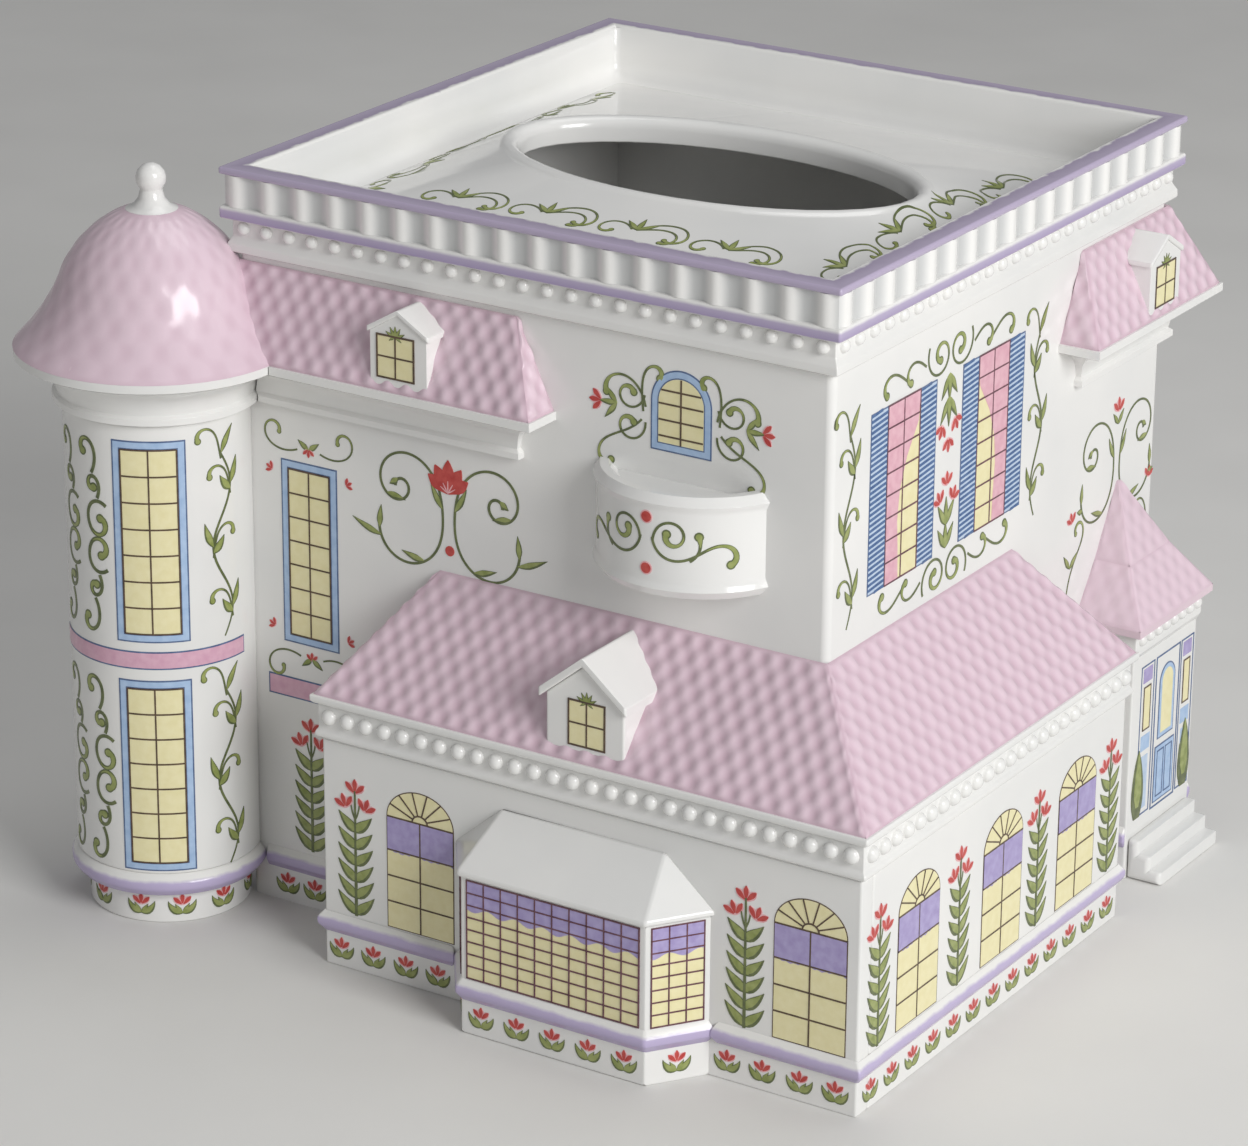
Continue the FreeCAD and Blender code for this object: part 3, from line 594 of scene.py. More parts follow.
wing_left = span("wing_left_wall")[0][0]
wing_front = span("wing_front_wall")[0][1]
wing_right = span("wing_right_wall")[1][0]
wing_back = span("wing_back_wall")[1][1]
bay_low, bay_high = span("bay_front_wall")
bay_front = bay_low[1]
bay_x = (bay_low[0] + bay_high[0]) / 2
bay_half = 19.65
bay_foot_half = 26.9
bay_run = bay_foot_half - bay_half
bay_depth = wing_front - bay_front
porch_front = span("porch_front_wall")[1][0]
balcony_low, balcony_high = span("balcony")
balcony_x = (balcony_low[0] + balcony_high[0]) / 2
balcony_half = 17.6
balcony_roll = 0.6
balcony_reach = house_front - balcony_low[1] - balcony_roll
balcony_radius = (balcony_half ** 2 + balcony_reach ** 2) / (2 * balcony_reach)
plinth_radius = 15.5

walls = {
    "house_front": facing_front(house_front),
    "house_right": facing_right(house_right),
    "wing_front": facing_front(wing_front),
    "wing_right": facing_right(wing_right),
    "bay_front": facing_front(bay_front),
    "bay_right": flat((bay_x + bay_half, bay_front, 0), (bay_run, bay_depth, 0),
                      (bay_depth, -bay_run, 0)),
    "bay_left": flat((bay_x - bay_foot_half, wing_front, 0), (bay_run, -bay_depth, 0),
                     (-bay_depth, -bay_run, 0)),
    "wing_dormer": facing_front(span("wing_dormer")[0][1]),
    "front_dormer": facing_front(span("front_dormer")[0][1]),
    "right_dormer": facing_right(span("right_dormer")[1][0]),
    "porch": facing_right(porch_front),
    "turret": bowed((turret_x, turret_y), turret_radius, 0),
    "turret_plinth": bowed((turret_x, turret_y), plinth_radius, 0),
    "balcony": bowed((balcony_x, house_front - balcony_reach + balcony_radius), balcony_radius, -90),
}


# Beads: glazed drops over the pressed beads of the three cornices

bead_sides = 14
bead_rings = 4
bead_glaze = 0.16


def bead_row(name, wall, start, end, height, count, radius, proud):
    """Round drops spaced evenly along a wall."""
    points = []
    faces = []
    full_radius = radius + bead_glaze
    for bead in range(count):
        middle = start + (end - start) * (bead + 0.5) / count
        first = len(points)
        for ring in range(bead_rings + 1):
            swing = pi / 2 * ring / (bead_rings + 0.6)
            for side in range(bead_sides):
                angle = 2 * pi * side / bead_sides
                out = full_radius * cos(swing)
                points.append(wall(middle + out * cos(angle), height + out * sin(angle),
                                   (proud + bead_glaze) * sin(swing)))
        faces += ring_faces(first, bead_rings + 1, bead_sides)
        faces.append(tuple(first + side for side in range(bead_sides)))
        faces.append(tuple(first + bead_rings * bead_sides + side for side in range(bead_sides)))
    piece(name, points, faces, white_porcelain)


house_bead_out = 64.2
house_beads_z = 134.5
for quarter, side in enumerate(house_sides):
    across, out = ways(pi / 2 * quarter)
    bead_row("house_" + side + "_beads", flat(out * house_bead_out, across, out),
             -house_bead_out, house_bead_out, house_beads_z, count=25, radius=1.15, proud=1.0)
wing_bead_out = 0.5
wing_beads_z = span("wing_cornice")[0][2] + 4.692
bead_row("wing_front_beads", facing_front(wing_front - wing_bead_out), wing_left, wing_right,
         wing_beads_z, count=28, radius=1.4, proud=1.1)
bead_row("wing_right_beads", facing_right(wing_right + wing_bead_out), wing_front, wing_back,
         wing_beads_z, count=24, radius=1.4, proud=1.1)
porch_bead_out = 0.6
porch_bead_half = 13.6
porch_beads_z = span("porch_cornice")[0][2] + 4.032
bead_row("porch_beads", facing_right(porch_front + porch_bead_out), porch_y - porch_bead_half,
         porch_y + porch_bead_half, porch_beads_z, count=8, radius=1.1, proud=0.9)


# Brushwork: strokes are strips of paired points across and up a wall, laid on it as thin enamel later

enamel_lift = 0.03
enamel_coat = 0.035
enamel_seat = 0.1
enamel_hair = 0.0025
enamel_hairs = 11
enamel_order = 0.0017
band_step = 1.4
thinnest = 0.02
brushed = {}


def paint(wall, colour, strip, coat):
    """Keeps one stroke for a wall, to lie on the coats below it."""
    brushed.setdefault((wall, colour), []).append((strip, coat))


def between(values, share):
    """A value read part of the way along a short row of values."""
    place = share * (len(values) - 1)
    index = min(int(place), len(values) - 2)
    return values[index] + (values[index + 1] - values[index]) * (place - index)


def band(left, low, right, high):
    """A plain upright rectangle, in steps narrow enough for a round wall."""
    steps = max(1, ceil((right - left) / band_step))
    places = [left + (right - left) * k / steps for k in range(steps + 1)]
    return [((u, high), (u, low)) for u in places]


def stroke(points, widths):
    """A brush stroke along points, its width read from a short row of widths."""
    strip = []
    last = len(points) - 1
    for k, (u, v) in enumerate(points):
        back = points[max(0, k - 1)]
        ahead = points[min(last, k + 1)]
        run, rise = ahead[0] - back[0], ahead[1] - back[1]
        length = hypot(run, rise)
        half = max(thinnest, between(widths, k / last) / 2)
        strip.append(((u - rise / length * half, v + run / length * half),
                      (u + rise / length * half, v - run / length * half)))
    return strip


def vine(u, v, heading, length, bends, step=0.5):
    """Points of a curling line, whose bends from start to end are degrees to the left per millimetre."""
    steps = max(8, round(length / step))
    angle = radians(heading)
    points = [(u, v)]
    for k in range(steps):
        angle += radians(between(bends, (k + 0.5) / steps)) * length / steps
        u += cos(angle) * length / steps
        v += sin(angle) * length / steps
        points.append((u, v))
    return points


def mirrored(points, centre):
    """The same points on the other side of an upright line."""
    return [(2 * centre - u, v) for u, v in points]


def disc(u, v, radius):
    """A round dot."""
    strip = []
    for k in range(9):
        angle = pi * (1 - k / 8)
        rise = max(thinnest, radius * sin(angle))
        strip.append(((u + radius * cos(angle), v + rise), (u + radius * cos(angle), v - rise)))
    return strip


def tendril(wall, points, thin, thick):
    """A dark line that swells into a round end with a lighter green inside."""
    paint(wall, "moss", stroke(points, (thin, thin, thin, thin * 1.3, thick)), 1)
    u, v = points[-1]
    paint(wall, "moss", disc(u, v, thick * 0.62), 1)
    tail = points[len(points) * 3 // 5:]
    paint(wall, "leaf", stroke(tail, (thin * 0.2, thick * 0.45, thick * 0.7)), 2)
    paint(wall, "leaf", disc(u, v, thick * 0.42), 2)


def scrolls(wall, lines, seats, thin, thick):
    """Tendrils along lines that are drawn about a middle, each laid once on every seat.

    A seat is the place of the middle across and up the wall, and how far it stretches both ways.
    """
    for across, rise, heading, length, bends in lines:
        points = vine(across, rise, heading, length, bends)
        for u, v, wide, tall in seats:
            tendril(wall, [(u + wide * x, v + tall * y) for x, y in points], thin, thick)


def leaf(wall, u, v, heading, length, width, bend=0):
    """A brushed leaf, dark along its lower edge."""
    spine = vine(u, v, heading, length, (bend, bend), length / 8)
    swell = (0.05, 0.75, 1, 0.8, 0.45, 0.05)
    paint(wall, "moss", stroke(spine, [width * share for share in swell]), 1)
    lit = [(x, y + width * 0.12) for x, y in spine[:-1]]
    paint(wall, "leaf", stroke(lit, [width * 0.68 * share for share in swell]), 2)


def flower(wall, u, v, heading, size):
    """Three red petals that fan out, each with a rose edge."""
    for turn in (46, -46, 0):
        petal = vine(u, v, heading + turn, size, (0, 0), size / 6)
        swell = (0.25, 0.7, 1, 0.9, 0.2)
        paint(wall, "rose", stroke(petal, [size * 0.54 * share for share in swell]), 1)
        paint(wall, "red", stroke(petal[1:], [size * 0.36 * share for share in swell]), 2)


def stalk(wall, u, low):
    """A tall stem with six pairs of leaves and three flowers."""
    stem = [(u, low + 25.4 * k / 10) for k in range(11)]
    paint(wall, "moss", stroke(stem, (0.65, 0.5, 0.35)), 3)
    for pair in range(6):
        height = low + 0.6 + 3.35 * pair
        for side in (1, -1):
            leaf(wall, u - 0.8 * side, height - 0.3, 90 - 66 * side, 6.5 - 0.12 * pair, 2.3, 4.5 * side)
    for side in (1, -1):
        twig = vine(u, low + 19.6, 90 - 34 * side, 3.2, (12 * side, 4 * side))
        paint(wall, "moss", stroke(twig, (0.35, 0.3)), 1)
        flower(wall, u + side * 2.1, low + 21.6, 90 - 18 * side, 2.8)
    flower(wall, u, low + 24.8, 90, 2.9)


def plinth_flower(wall, u, v):
    """A low flower between two leaves that cup it."""
    for side in (1, -1):
        leaf(wall, u, v - 2.1, 90 - 84 * side, 4.0, 1.5, 17 * side)
        leaf(wall, u, v - 1.9, 90 - 50 * side, 2.3, 0.9, 10 * side)
    flower(wall, u, v - 0.3, 90, 2.3)


def climber(wall, u, low, high, sway):
    """A wavy stem that climbs a wall, with a leaf or a curl at each turn of the wave."""
    turns = 3
    count = 40
    points = []
    for k in range(count + 1):
        share = k / count
        swing = sway * sin(2 * pi * turns / 2 * share)
        points.append((u + swing, low + (high - low) * 0.9 * share))
    paint(wall, "moss", stroke(points, (0.3, 0.5, 0.5, 0.4)), 1)
    for turn in range(turns):
        x, y = points[count * (2 * turn + 1) // (2 * turns)]
        side = 1 if turn % 2 == 0 else -1
        if sway < 0:
            side = -side
        leaf(wall, x, y, 90 - 28 * side, 5.4, 1.6, 3 * side)
        leaf(wall, x, y - 1.2, 90 + 52 * side, 4.2, 1.8, -6 * side)
        curl = vine(x, y - 2.0, 90 + 8 * side, 10.5, (0, 4 * side, 26 * side, 44 * side))
        tendril(wall, curl, 0.4, 1.1)
    x, y = points[-1]
    leaf(wall, x, y, 66, 6.0, 1.5, -2)
    tendril(wall, vine(x, y - 1, 104, 11.0, (-4, 4, 26, 44)), 0.4, 1.1)


column_scrolls = ((3.2, 6.3, 140, 17.5, (14, 20, 14, 26, 44)), (0.9, 7.6, 60, 9.5, (6, 24, 44, 60)),
                  (-0.6, 12.4, 50, 12.0, (10, 12, 26, 50)))
column_width = 0.85
column_height = 39.8


def scroll_column(wall, u, low, high):
    """A column of scrolls, the same above and below its middle: a large curl, a small one and a hook."""
    for up in (1, -1):
        seat = (u, (low + high) / 2, column_width, up * (high - low) / column_height)
        scrolls(wall, column_scrolls, [seat], 0.7, 1.5)


def lyre(wall, u, v, size, tip):
    """Two large spirals that mirror each other, with arms that sweep out below and leaves along both.

    The tip is the length of the leaf that points outwards from each arm.
    """
    spiral = vine(u + 1.3 * size, v, 90, 40 * size,
                  [bend / size for bend in (-1, -4.6, -7.4, -9, -11, -14.5, -24, -48)])
    arm = vine(u + 1.3 * size, v, -90, 26 * size, [bend / size for bend in (3, 7, 8.4, 9, 8)])
    for line in (spiral, arm):
        for points in (line, mirrored(line, u)):
            paint(wall, "moss", stroke(points, (0.5 * size, 0.5 * size, 0.5 * size, 0.6 * size)), 1)
    leaves = ((spiral, 0.06, -28, 5.6), (spiral, 0.72, -32, 4.2), (spiral, 0.97, 10, 2.2),
              (arm, 0.4, 36, 5.2), (arm, 0.84, -58, tip), (arm, 0.9, 6, 4.6))
    for line, share, turn, length in leaves:
        index = round(share * (len(line) - 2))
        (x, y), (ahead_x, ahead_y) = line[index], line[index + 1]
        heading = degrees(atan2(ahead_y - y, ahead_x - x)) + turn
        leaf(wall, x, y, heading, length * size, 1.4 * size, 2 / size)
        leaf(wall, 2 * u - x, y, 180 - heading, length * size, 1.4 * size, -2 / size)


# Painted windows

def outlined(wall, colour, left, low, right, high, width, coat):
    """Four thin lines round a rectangle."""
    half = width / 2
    for u in (left, right):
        paint(wall, colour, band(u - half, low - half, u + half, high + half), coat)
    for v in (low, high):
        paint(wall, colour, band(left, v - half, right, v + half), coat)


def bars(wall, colour, left, low, right, high, columns, rows, half, overlap, coat):
    """Upright and level glazing bars; the level ones run past both sides by the overlap."""
    for i in range(columns + 1):
        u = left + (right - left) * i / columns
        paint(wall, colour, band(u - half, low, u + half, high), coat)
    for j in range(rows + 1):
        v = low + (high - low) * j / rows
        paint(wall, colour, band(left - overlap, v - half, right + overlap, v + half), coat)


def panes(wall, left, low, right, high, columns, rows, line, coat):
    """Cream panes between thin glazing bars."""
    paint(wall, "cream", band(left, low, right, high), coat)
    bars(wall, line, left, low, right, high, columns, rows, 0.15, 0, coat + 2)


def blue_window(wall, left, low, right, high):
    """A tall window in a sky blue frame with slate lines at both edges, two panes wide."""
    for inset, colour, coat in ((0, "slate", 1), (0.3, "sky", 2), (1.45, "slate", 3)):
        paint(wall, colour, band(left + inset, low + inset, right - inset, high - inset), coat)
    frame_width = 1.75
    panes(wall, left + frame_width, low + frame_width, right - frame_width, high - frame_width,
          2, 7, "umber", 4)


def arch(centre, spring, half, rise):
    """A flattened half round that stands on its spring line."""
    strip = []
    for k in range(25):
        angle = pi * (1 - k / 24)
        u = centre + half * cos(angle)
        strip.append(((u, spring + max(thinnest, rise * sin(angle))), (u, spring)))
    return strip


def arched_light(wall, centre, half, low, spring, rise, layers):
    """Layers of colour in an arched opening, each set in from its edge by an inset of its own."""
    for inset, colour, coat in layers:
        paint(wall, colour, band(centre - half + inset, low + inset, centre + half - inset, spring), coat)
        paint(wall, colour, arch(centre, spring, half - inset, rise - inset), coat)


def fan_window(wall, centre, low):
    """A wide arched window: a fanlight, a lilac blind with a frayed edge, and three rows of panes."""
    half, spring, rise, blind = 7.3, 33.7, 5.9, 27.0
    line = 0.2
    bar = 0.15
    arched_light(wall, centre, half + line, low - line, spring, rise + line,
                 ((0, "umber", 1), (line, "cream", 2)))
    frayed = []
    for k in range(31):
        u = centre - half + 2 * half * k / 30
        frayed.append(((u, spring), (u, blind - 0.25 - 0.3 * sin(5.1 * k) * sin(0.7 * k))))
    paint(wall, "valance", frayed, 3)
    paint(wall, "umber", band(centre - bar, low, centre + bar, spring), 4)
    for v in (low + (blind - low) / 3, low + (blind - low) * 2 / 3, blind, spring):
        paint(wall, "umber", band(centre - half, v - bar, centre + half, v + bar), 4)
    half_turn = [pi * k / 12 for k in range(13)]
    hub = [(centre + 1.7 * cos(angle), spring + 1.5 * sin(angle)) for angle in half_turn]
    paint(wall, "umber", stroke(hub, (0.3, 0.3)), 4)
    for k in range(1, 7):
        across = half * cos(pi * k / 7)
        up = rise * sin(pi * k / 7)
        ray = [(centre + reach * across, spring + reach * up) for reach in (0.25, 1)]
        paint(wall, "umber", stroke(ray, (0.28, 0.28)), 4)


def lattice(wall, left, low, right, high, columns, rows):
    """A close grid of small panes with a wavy lilac blind over the top rows."""
    paint(wall, "cream", band(left, low, right, high), 1)
    steps = max(6, round((right - left) / 0.6))
    wavy = []
    for k in range(steps + 1):
        u = left + (right - left) * k / steps
        wavy.append(((u, high), (u, high - (high - low) * 0.29 - 0.5 * sin(u * 1.05))))
    paint(wall, "valance", wavy, 2)
    bars(wall, "sash", left, low, right, high, columns, rows, 0.13, 0.13, 4)


def shuttered_window(wall, left, right, low, high, side):
    """A sash with a rose curtain drawn to one side, between two hatched shutters."""
    shutter = 5.8
    slant = 0.5
    spacing = 1.02
    for edge in (left, right - shutter):
        paint(wall, "wash", band(edge, low, edge + shutter, high), 1)
        for k in range(ceil((high - low + slant) / spacing)):
            height = low - slant + 0.3 + spacing * k
            first = max(0, (low - height) / slant)
            last = min(1, (high - height) / slant)
            if last - first > 0.05:
                hatch = [(edge + shutter * share, height + slant * share) for share in (first, last)]
                paint(wall, "shutter", stroke(hatch, (0.55, 0.55)), 2)
        outlined(wall, "slate", edge, low, edge + shutter, high, 0.25, 2)
    start, end = left + shutter + 0.1, right - shutter - 0.1
    panes(wall, start, low, end, high, 2, 8, "sash", 1)
    drawn = []
    for k in range(25):
        share = k / 24
        v = high - (high - low) * share
        width = (end - start) * between((1, 0.96, 0.62, 0.42, 0.36, 0.4, 0.42), share)
        if side < 0:
            drawn.append(((start, v), (start + width, v)))
        else:
            drawn.append(((end - width, v), (end, v)))
    paint(wall, "curtain", drawn, 2)


def dormer_window(wall, left, low, right, high):
    """Four panes with a dark outline and a small green bow on top."""
    panes(wall, left, low, right, high, 2, 2, "umber", 1)
    outlined(wall, "umber", left, low, right, high, 0.34, 3)
    middle = (left + right) / 2
    for heading in (30, 62, 90, 118, 150):
        leaf(wall, middle, high - 0.4, heading, 2.4, 0.8)
    for heading in (215, 325):
        leaf(wall, middle, high + 0.1, heading, 1.7, 0.6)


# Turret: two tall windows with a pink belt between them, climbers and scrolls beside them

front_foot_z = 4.1
side_foot_z = 4.0


def turned_to(angle):
    """How far round the turret an angle is."""
    return turret_radius * radians(angle)


window_left, window_right = turned_to(-81), turned_to(-35.7)
for low, high in ((58.5, 98.3), (11.9, 50.9)):
    blue_window("turret", window_left, low, window_right, high)
    climber("turret", turned_to(-12), low - 0.5, high, 2.2)
    scroll_column("turret", turned_to(-95), low, high)
    scroll_column("turret", turned_to(-119), low, high)
paint("turret", "slate", band(turned_to(-140), 53.1, turned_to(5), 56.7), 1)
paint("turret", "belt", band(turned_to(-139.2), 53.4, turned_to(4.2), 56.4), 2)
for angle in (-145, -109.5, -74, -44.6, -12.4, 22):
    plinth_flower("turret_plinth", plinth_radius * radians(angle), side_foot_z)

# House front: a narrow window, a belt and a stalk by the turret, curls and an arched window beside them
wall = "house_front"
narrow_x, narrow_half, narrow_low, narrow_high = -48.3, 6.4, 54.4, 91.0
narrow_scroll = (2.6, 2.4, -24, 15.0, (6, 10, 26, 44))
blue_window(wall, narrow_x - narrow_half, narrow_low, narrow_x + narrow_half, narrow_high)
for up, edge in ((1, narrow_high), (-1, narrow_low)):
    for side in (1, -1):
        scrolls(wall, [narrow_scroll], [(narrow_x, edge, side, up)], 0.35, 0.8)
        leaf(wall, narrow_x, edge + up * 2.6, 90 - side * (90 - up * 36), 3.0, 1.2)
        flower(wall, narrow_x + side * 8.4, edge - up * 2.6, 90 - side * 60, 1.6)
    flower(wall, narrow_x, edge + up * 2.9, -90 * up, 1.7)
paint(wall, "slate", band(-58.5, 43.0, wing_left, 47.2), 1)
paint(wall, "belt", band(-58.2, 43.3, wing_left, 46.9), 2)
stalk(wall, -48.9, 11.9)
for u in (-55.0, -48.6, -42.2, -36.4):
    plinth_flower(wall, u, front_foot_z)
lyre(wall, -16.8, 85.7, 1.0, 7.0)
for turn in (-56, 56, -30, 30, 0):
    petal = vine(-16.9, 91.6, 90 + turn, 6.4 - abs(turn) * 0.02, (0, 0), 0.8)
    paint(wall, "red", stroke(petal, (0.5, 1.3, 2.2, 2.7, 1.9, 0.2)), 2)
    paint(wall, "rose", stroke(petal[:4], (0.1, 0.3, 0.1)), 3)
paint(wall, "red", disc(-16.6, 80.4, 1.0), 2)

arched_x, arched_low, arched_spring, arched_half = 32.9, 109.0, 118.3, 6.3
arched_rise = arched_half - 0.1
arched_bar = 0.16
arched_middle = 116.0
arched_light(wall, arched_x, arched_half, arched_low, arched_spring, arched_rise,
             ((0, "slate", 1), (0.28, "sky", 2), (1.4, "slate", 3), (1.62, "cream", 4)))
for v, reach in ((111.9, 4.6), (114.9, 4.6), (117.9, 4.6), (120.4, 4.1)):
    paint(wall, "umber", band(arched_x - reach, v - arched_bar, arched_x + reach, v + arched_bar), 6)
paint(wall, "umber", band(arched_x - arched_bar, arched_low + 1.6, arched_x + arched_bar, 122.8), 6)
arched_scrolls = ((7.9, 115.6, 84, 13.0, (0, 2, 8, 30, 56)), (7.4, 116.5, 80, 13.5, (-6, -10, -16, -24)),
                  (7.6, 118.6, -80, 12.0, (12, 22, 30, 46)), (7.4, 113.6, -96, 13.0, (14, 20, 28, 44)),
                  (8.2, 114.0, -50, 16.0, (6, 4, -4, -22, -50)))
scrolls(wall, arched_scrolls, [(arched_x, 0, side, 1) for side in (1, -1)], 0.42, 1.25)
for side in (1, -1):
    for rise in (50, -50, 0):
        leaf(wall, arched_x + side * 13.4, arched_middle, 90 - side * (90 - rise), 4.0, 1.2)
    flower(wall, arched_x + side * 16.6, arched_middle, 90 - side * 90, 2.6)

# Balcony: two red dots between a pair of scrolls
balcony_scrolls = ((1.2, 97.4, -86, 21.0, (12, 14, 4, -16, -40)),
                   (1.3, 97.0, 86, 15.0, (-10, -20, -28, -44)), (8.2, 93.6, 30, 5.4, (10, 18, 10)))
for side in (1, -1):
    scrolls("balcony", balcony_scrolls, [(0, 0, side, 1)], 0.5, 1.4)
for v in (101.0, 91.4):
    paint("balcony", "rose", disc(0, v, 1.25), 1)
    paint("balcony", "red", disc(0, v, 1.0), 2)

# House right: two shuttered windows with flowers between them and scrolls round them
wall = "house_right"
right_middle, sash_low, sash_high = -21.8, 84.5, 118.3
right_scrolls = ((7.8, 6.7, -62, 22.4, (-13, -14, -15, -20, -27, -45)),
                 (8.9, 3.6, 34, 10.4, (2, -10, -26, -44)), (14.8, 2.2, 30, 12.6, (4, -4, -18, -46)))
shuttered_window(wall, -50.0, -26.7, sash_low, sash_high, -1)
shuttered_window(wall, -16.8, 6.5, sash_low, sash_high, 1)
for up, edge in ((1, sash_high), (-1, sash_low)):
    scrolls(wall, right_scrolls, [(right_middle, edge, side, up) for side in (1, -1)], 0.5, 1.35)
    for level, length in ((0.2, 5.2), (4.6, 5.6)):
        for turn in (-34, 34, 0):
            leaf(wall, right_middle, edge - up * level, -up * 90 + turn, length, 1.7)
    stem = [(right_middle, edge - up * (2 + 8 * k / 6)) for k in range(7)]
    paint(wall, "moss", stroke(stem, (0.4, 0.35)), 1)
    for across, level, turn in ((-2.3, 9.4, -24), (2.3, 9.0, 24), (0, 12.4, 0)):
        flower(wall, right_middle + across, edge - up * level, -up * (90 - turn), 2.7)
for u, sway in ((-57.2, 1.8), (12.6, -1.8)):
    climber(wall, u, 80.5, 120.5, sway)
lyre_y = 46.8
lyre(wall, lyre_y, 80.0, 0.93, 2.2)
for turn in (-40, 40):
    leaf(wall, lyre_y, 88.6, 90 + turn, 3.4, 1.2)
flower(wall, lyre_y, 91.2, 90, 2.9)
for u, lean in ((28.9, 16), (60.8, -16)):
    flower(wall, u, 73.6, 90 + lean, 2.4)
tendril(wall, vine(27.6, 58.6, 80, 20.0, (-2, -5, 0, 24, 50)), 0.4, 0.9)
tendril(wall, vine(60.6, 66.0, 100, 8.5, (4, 10, 30, 50)), 0.4, 0.9)
for heading in (128, 40):
    leaf(wall, 28.6, 64.4, heading, 4.2, 1.3)

# Wing: stalks between fan windows, a row of small flowers along the foot
window_low = 11.4
wing_layout = (("wing_front", (-11.3, 71.8), (-25.9, 58.5)),
               ("wing_right", (-60.6, -29.4, -0.2), (-74.6, -45.6, -15.6, 13.2)))
for wall, windows, stalks in wing_layout:
    for u in windows:
        fan_window(wall, u, window_low)
    for u in stalks:
        stalk(wall, u, window_low)
for u in (-29.4, -22.2, -14.8, -7.6, 55.1, 62.4, 70.1, 77.4):
    plinth_flower("wing_front", u, front_foot_z)
for k in range(13):
    plinth_flower("wing_right", -76.6 + 7.55 * k, side_foot_z)

# Bay: close lattices on its three walls and flowers along its foot
lattice_half, lattice_high, lattice_margin = 18.4, 30.8, 1.2
bay_side = hypot(bay_run, bay_depth)
lattice("bay_front", bay_x - lattice_half, window_low, bay_x + lattice_half, lattice_high, 10, 8)
for wall in ("bay_left", "bay_right"):
    lattice(wall, lattice_margin, window_low, bay_side - lattice_margin, lattice_high, 3, 8)
    plinth_flower(wall, bay_side / 2, front_foot_z)
for k in range(5):
    plinth_flower("bay_front", bay_x + 7.7 * (k - 2), front_foot_z)

# Dormers
dormer_window("wing_dormer", 21.0, 57.4, 28.6, 66.0)
dormer_window("front_dormer", -26.8, 114.6, -18.8, 122.6)
dormer_window("right_dormer", 44.4, 114.0, 52.2, 122.0)

# Porch: a blue door with an arched light, a side light on each hand and two clipped trees
for left, right in ((38.0, 43.4), (55.2, 60.4)):
    outlined("porch", "slate", left, 11.8, right, 43.4, 0.3, 1)
    paint("porch", "wash", band(left + 1.3, 13.0, right - 1.3, 24.2), 1)
    paint("porch", "sky", band(left + 0.8, 25.4, right - 0.8, 28.6), 1)
    paint("porch", "cream", band(left + 1.3, 29.8, right - 1.3, 38.8), 1)
    outlined("porch", "umber", left + 1.3, 29.8, right - 1.3, 38.8, 0.3, 2)
    paint("porch", "valance", band(left + 0.8, 39.8, right - 0.8, 42.8), 1)
outlined("porch", "slate", 44.4, 11.4, 54.4, 43.4, 0.35, 1)
door_x, light_half, light_low, light_spring, light_rise = 49.4, 3.4, 25.6, 37.4, 3.6
arched_light("porch", door_x, light_half, light_low, light_spring, light_rise,
             ((0, "slate", 1), (0.3, "sky", 2), (1.1, "cream", 3)))
paint("porch", "slate", band(45.2, 12.2, 53.6, 24.2), 1)
paint("porch", "sky", band(45.5, 12.5, 53.3, 23.9), 2)
for left, right in ((46.3, 49.0), (49.8, 52.5)):
    outlined("porch", "slate", left, 13.4, right, 23.0, 0.3, 3)
for u in (38.2, 58.3):
    trunk = [(u, 11.6 + 14.4 * k / 12) for k in range(13)]
    paint("porch", "moss", stroke(trunk, (2.4, 4.6, 4.8, 4.0, 2.6, 0.1)), 4)
    paint("porch", "leaf", stroke(trunk[2:], (1.2, 3.0, 3.0, 2.2, 1.2, 0.1)), 5)
    for row in range(8):
        height = 12.4 + 1.25 * row
        for side in (1, -1):
            leaf("porch", u + side * 0.5, height, 90 - side * 34, 2.6 - 0.14 * row, 0.8, 6 * side)

# Deck: a low vine that curls along three edges of the roof
deck_surface = bmesh.new()
deck_surface.from_mesh(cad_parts["roof_deck"].data)
deck_tree = BVHTree.FromBMesh(deck_surface)
deck_surface.free()


def on_deck(turn):
    """One edge of the deck, with places along it and in from it, laid on the deck as it rises."""
    across, out = ways(turn)

    def place(u, v, lift):
        spot = across * u - out * (v - well_half)
        hit = deck_tree.ray_cast(Vector((spot.x * mm, spot.y * mm, 1)), Vector((0, 0, -1)))[0]
        return Vector((spot.x, spot.y, hit.z / mm + lift))
    return place


deck_curls = ((0, 0, 62, 19.0, (-6, -9, -16, -34)), (0, 0, 20, 14.0, (6, -9, -20, -40)),
              (-1.0, 0, 128, 12.5, (8, 15, 28, 44)))
deck_spacing = 19.5
deck_vines = (("deck_front", 0, 24, 4), ("deck_right", 90, 14, 4), ("deck_left", -90, 7, 5))
for name, turn, inset, count in deck_vines:
    walls[name] = on_deck(radians(turn))
    for k in range(count):
        start = deck_spacing * (k - (count - 1) / 2) - 3
        scrolls(name, deck_curls, [(start, inset, 1, 1)], 0.4, 0.9)
        for heading in (96, 44, 140):
            leaf(name, start, inset, heading, 4.4, 1.3)

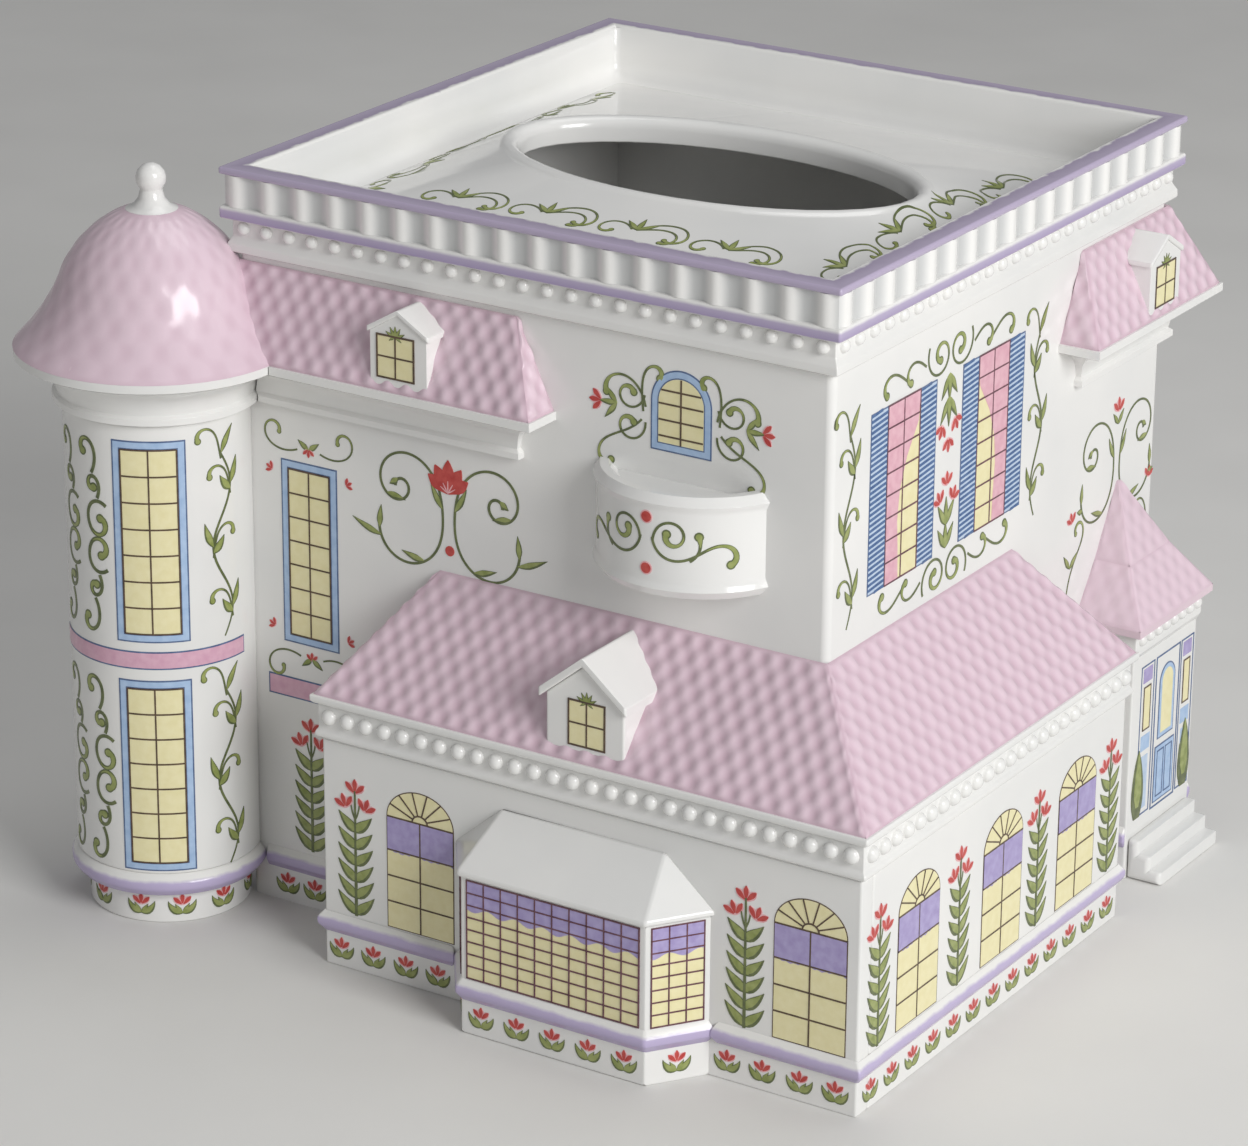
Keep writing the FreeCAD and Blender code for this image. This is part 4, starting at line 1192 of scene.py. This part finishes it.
# The strokes of each colour on each wall become one piece of enamel
for (wall, colour), strokes in brushed.items():
    points = []
    faces = []
    place = walls[wall]
    base = enamel_lift + enamel_order * list(enamels).index(colour)
    for order, (strip, coat) in enumerate(strokes):
        lift = base + enamel_coat * coat + enamel_hair * (order % enamel_hairs)
        faces += strip_faces(len(points), len(strip))
        for pair in strip:
            for height in (lift, -enamel_seat):
                points += [place(u, v, height) for u, v in pair]
    piece(wall + "_" + colour + "_enamel", points, faces, enamels[colour])


# Camera, floor and light

camera_data = bpy.data.cameras.new("camera")
camera_data.sensor_width = 36
camera_data.lens = 136.86
camera_data.shift_x = -0.0531
camera_data.shift_y = -0.0085
camera_data.clip_end = 10
camera = bpy.data.objects.new("camera", camera_data)
camera.location = (0.44658, -0.73115, 0.39003)
camera.rotation_euler = [radians(angle) for angle in (69.0125, -0.6810, 31.9080)]
scene.collection.objects.link(camera)
scene.camera = camera

floor_mesh = bpy.data.meshes.new("floor")
reach = 3000 * mm
floor_mesh.from_pydata([(-reach, -reach, 0), (reach, -reach, 0), (reach, reach, 0), (-reach, reach, 0)],
                       [], [(0, 1, 2, 3)])
floor = bpy.data.objects.new("floor", floor_mesh)
scene.collection.objects.link(floor)
# Matt paper sheet: a plain pale ground with no gloss of its own.
paper = glazed("matt_pale_paper", [(0.3, "e3e2df"), (0.7, "e8e7e4")],
               roughness=0.8, mottle_size=60, wave_size=4, wave_depth=0.01)
floor_mesh.materials.append(paper)

lamp_target = Vector((0, 0, 0.07))


def lamp(name, place, size, power):
    """A soft square studio lamp that looks at the middle of the cover."""
    data = bpy.data.lights.new(name, "AREA")
    data.shape = "SQUARE"
    data.size = size
    data.energy = power
    light = bpy.data.objects.new(name, data)
    light.location = place
    light.rotation_euler = (lamp_target - Vector(place)).to_track_quat("-Z", "Y").to_euler()
    scene.collection.objects.link(light)


lamp("key_from_right", (1.08, -0.42, 0.62), 0.6, 11.5)
lamp("fill_from_left", (-0.6, -1.2, 0.35), 0.8, 0.6)
lamp("soft_from_above", (0.1, 0.25, 1.3), 0.7, 3.1)

world = bpy.data.worlds.new("studio")
scene.world = world
world.use_nodes = True
world.node_tree.nodes.clear()
room = add_node(world.node_tree, "ShaderNodeBackground", {"Color": linear("dcdddf"), "Strength": 0.3}, {})
add_node(world.node_tree, "ShaderNodeOutputWorld", {}, {"Surface": room.outputs["Background"]})
scene.view_settings.view_transform = "Standard"
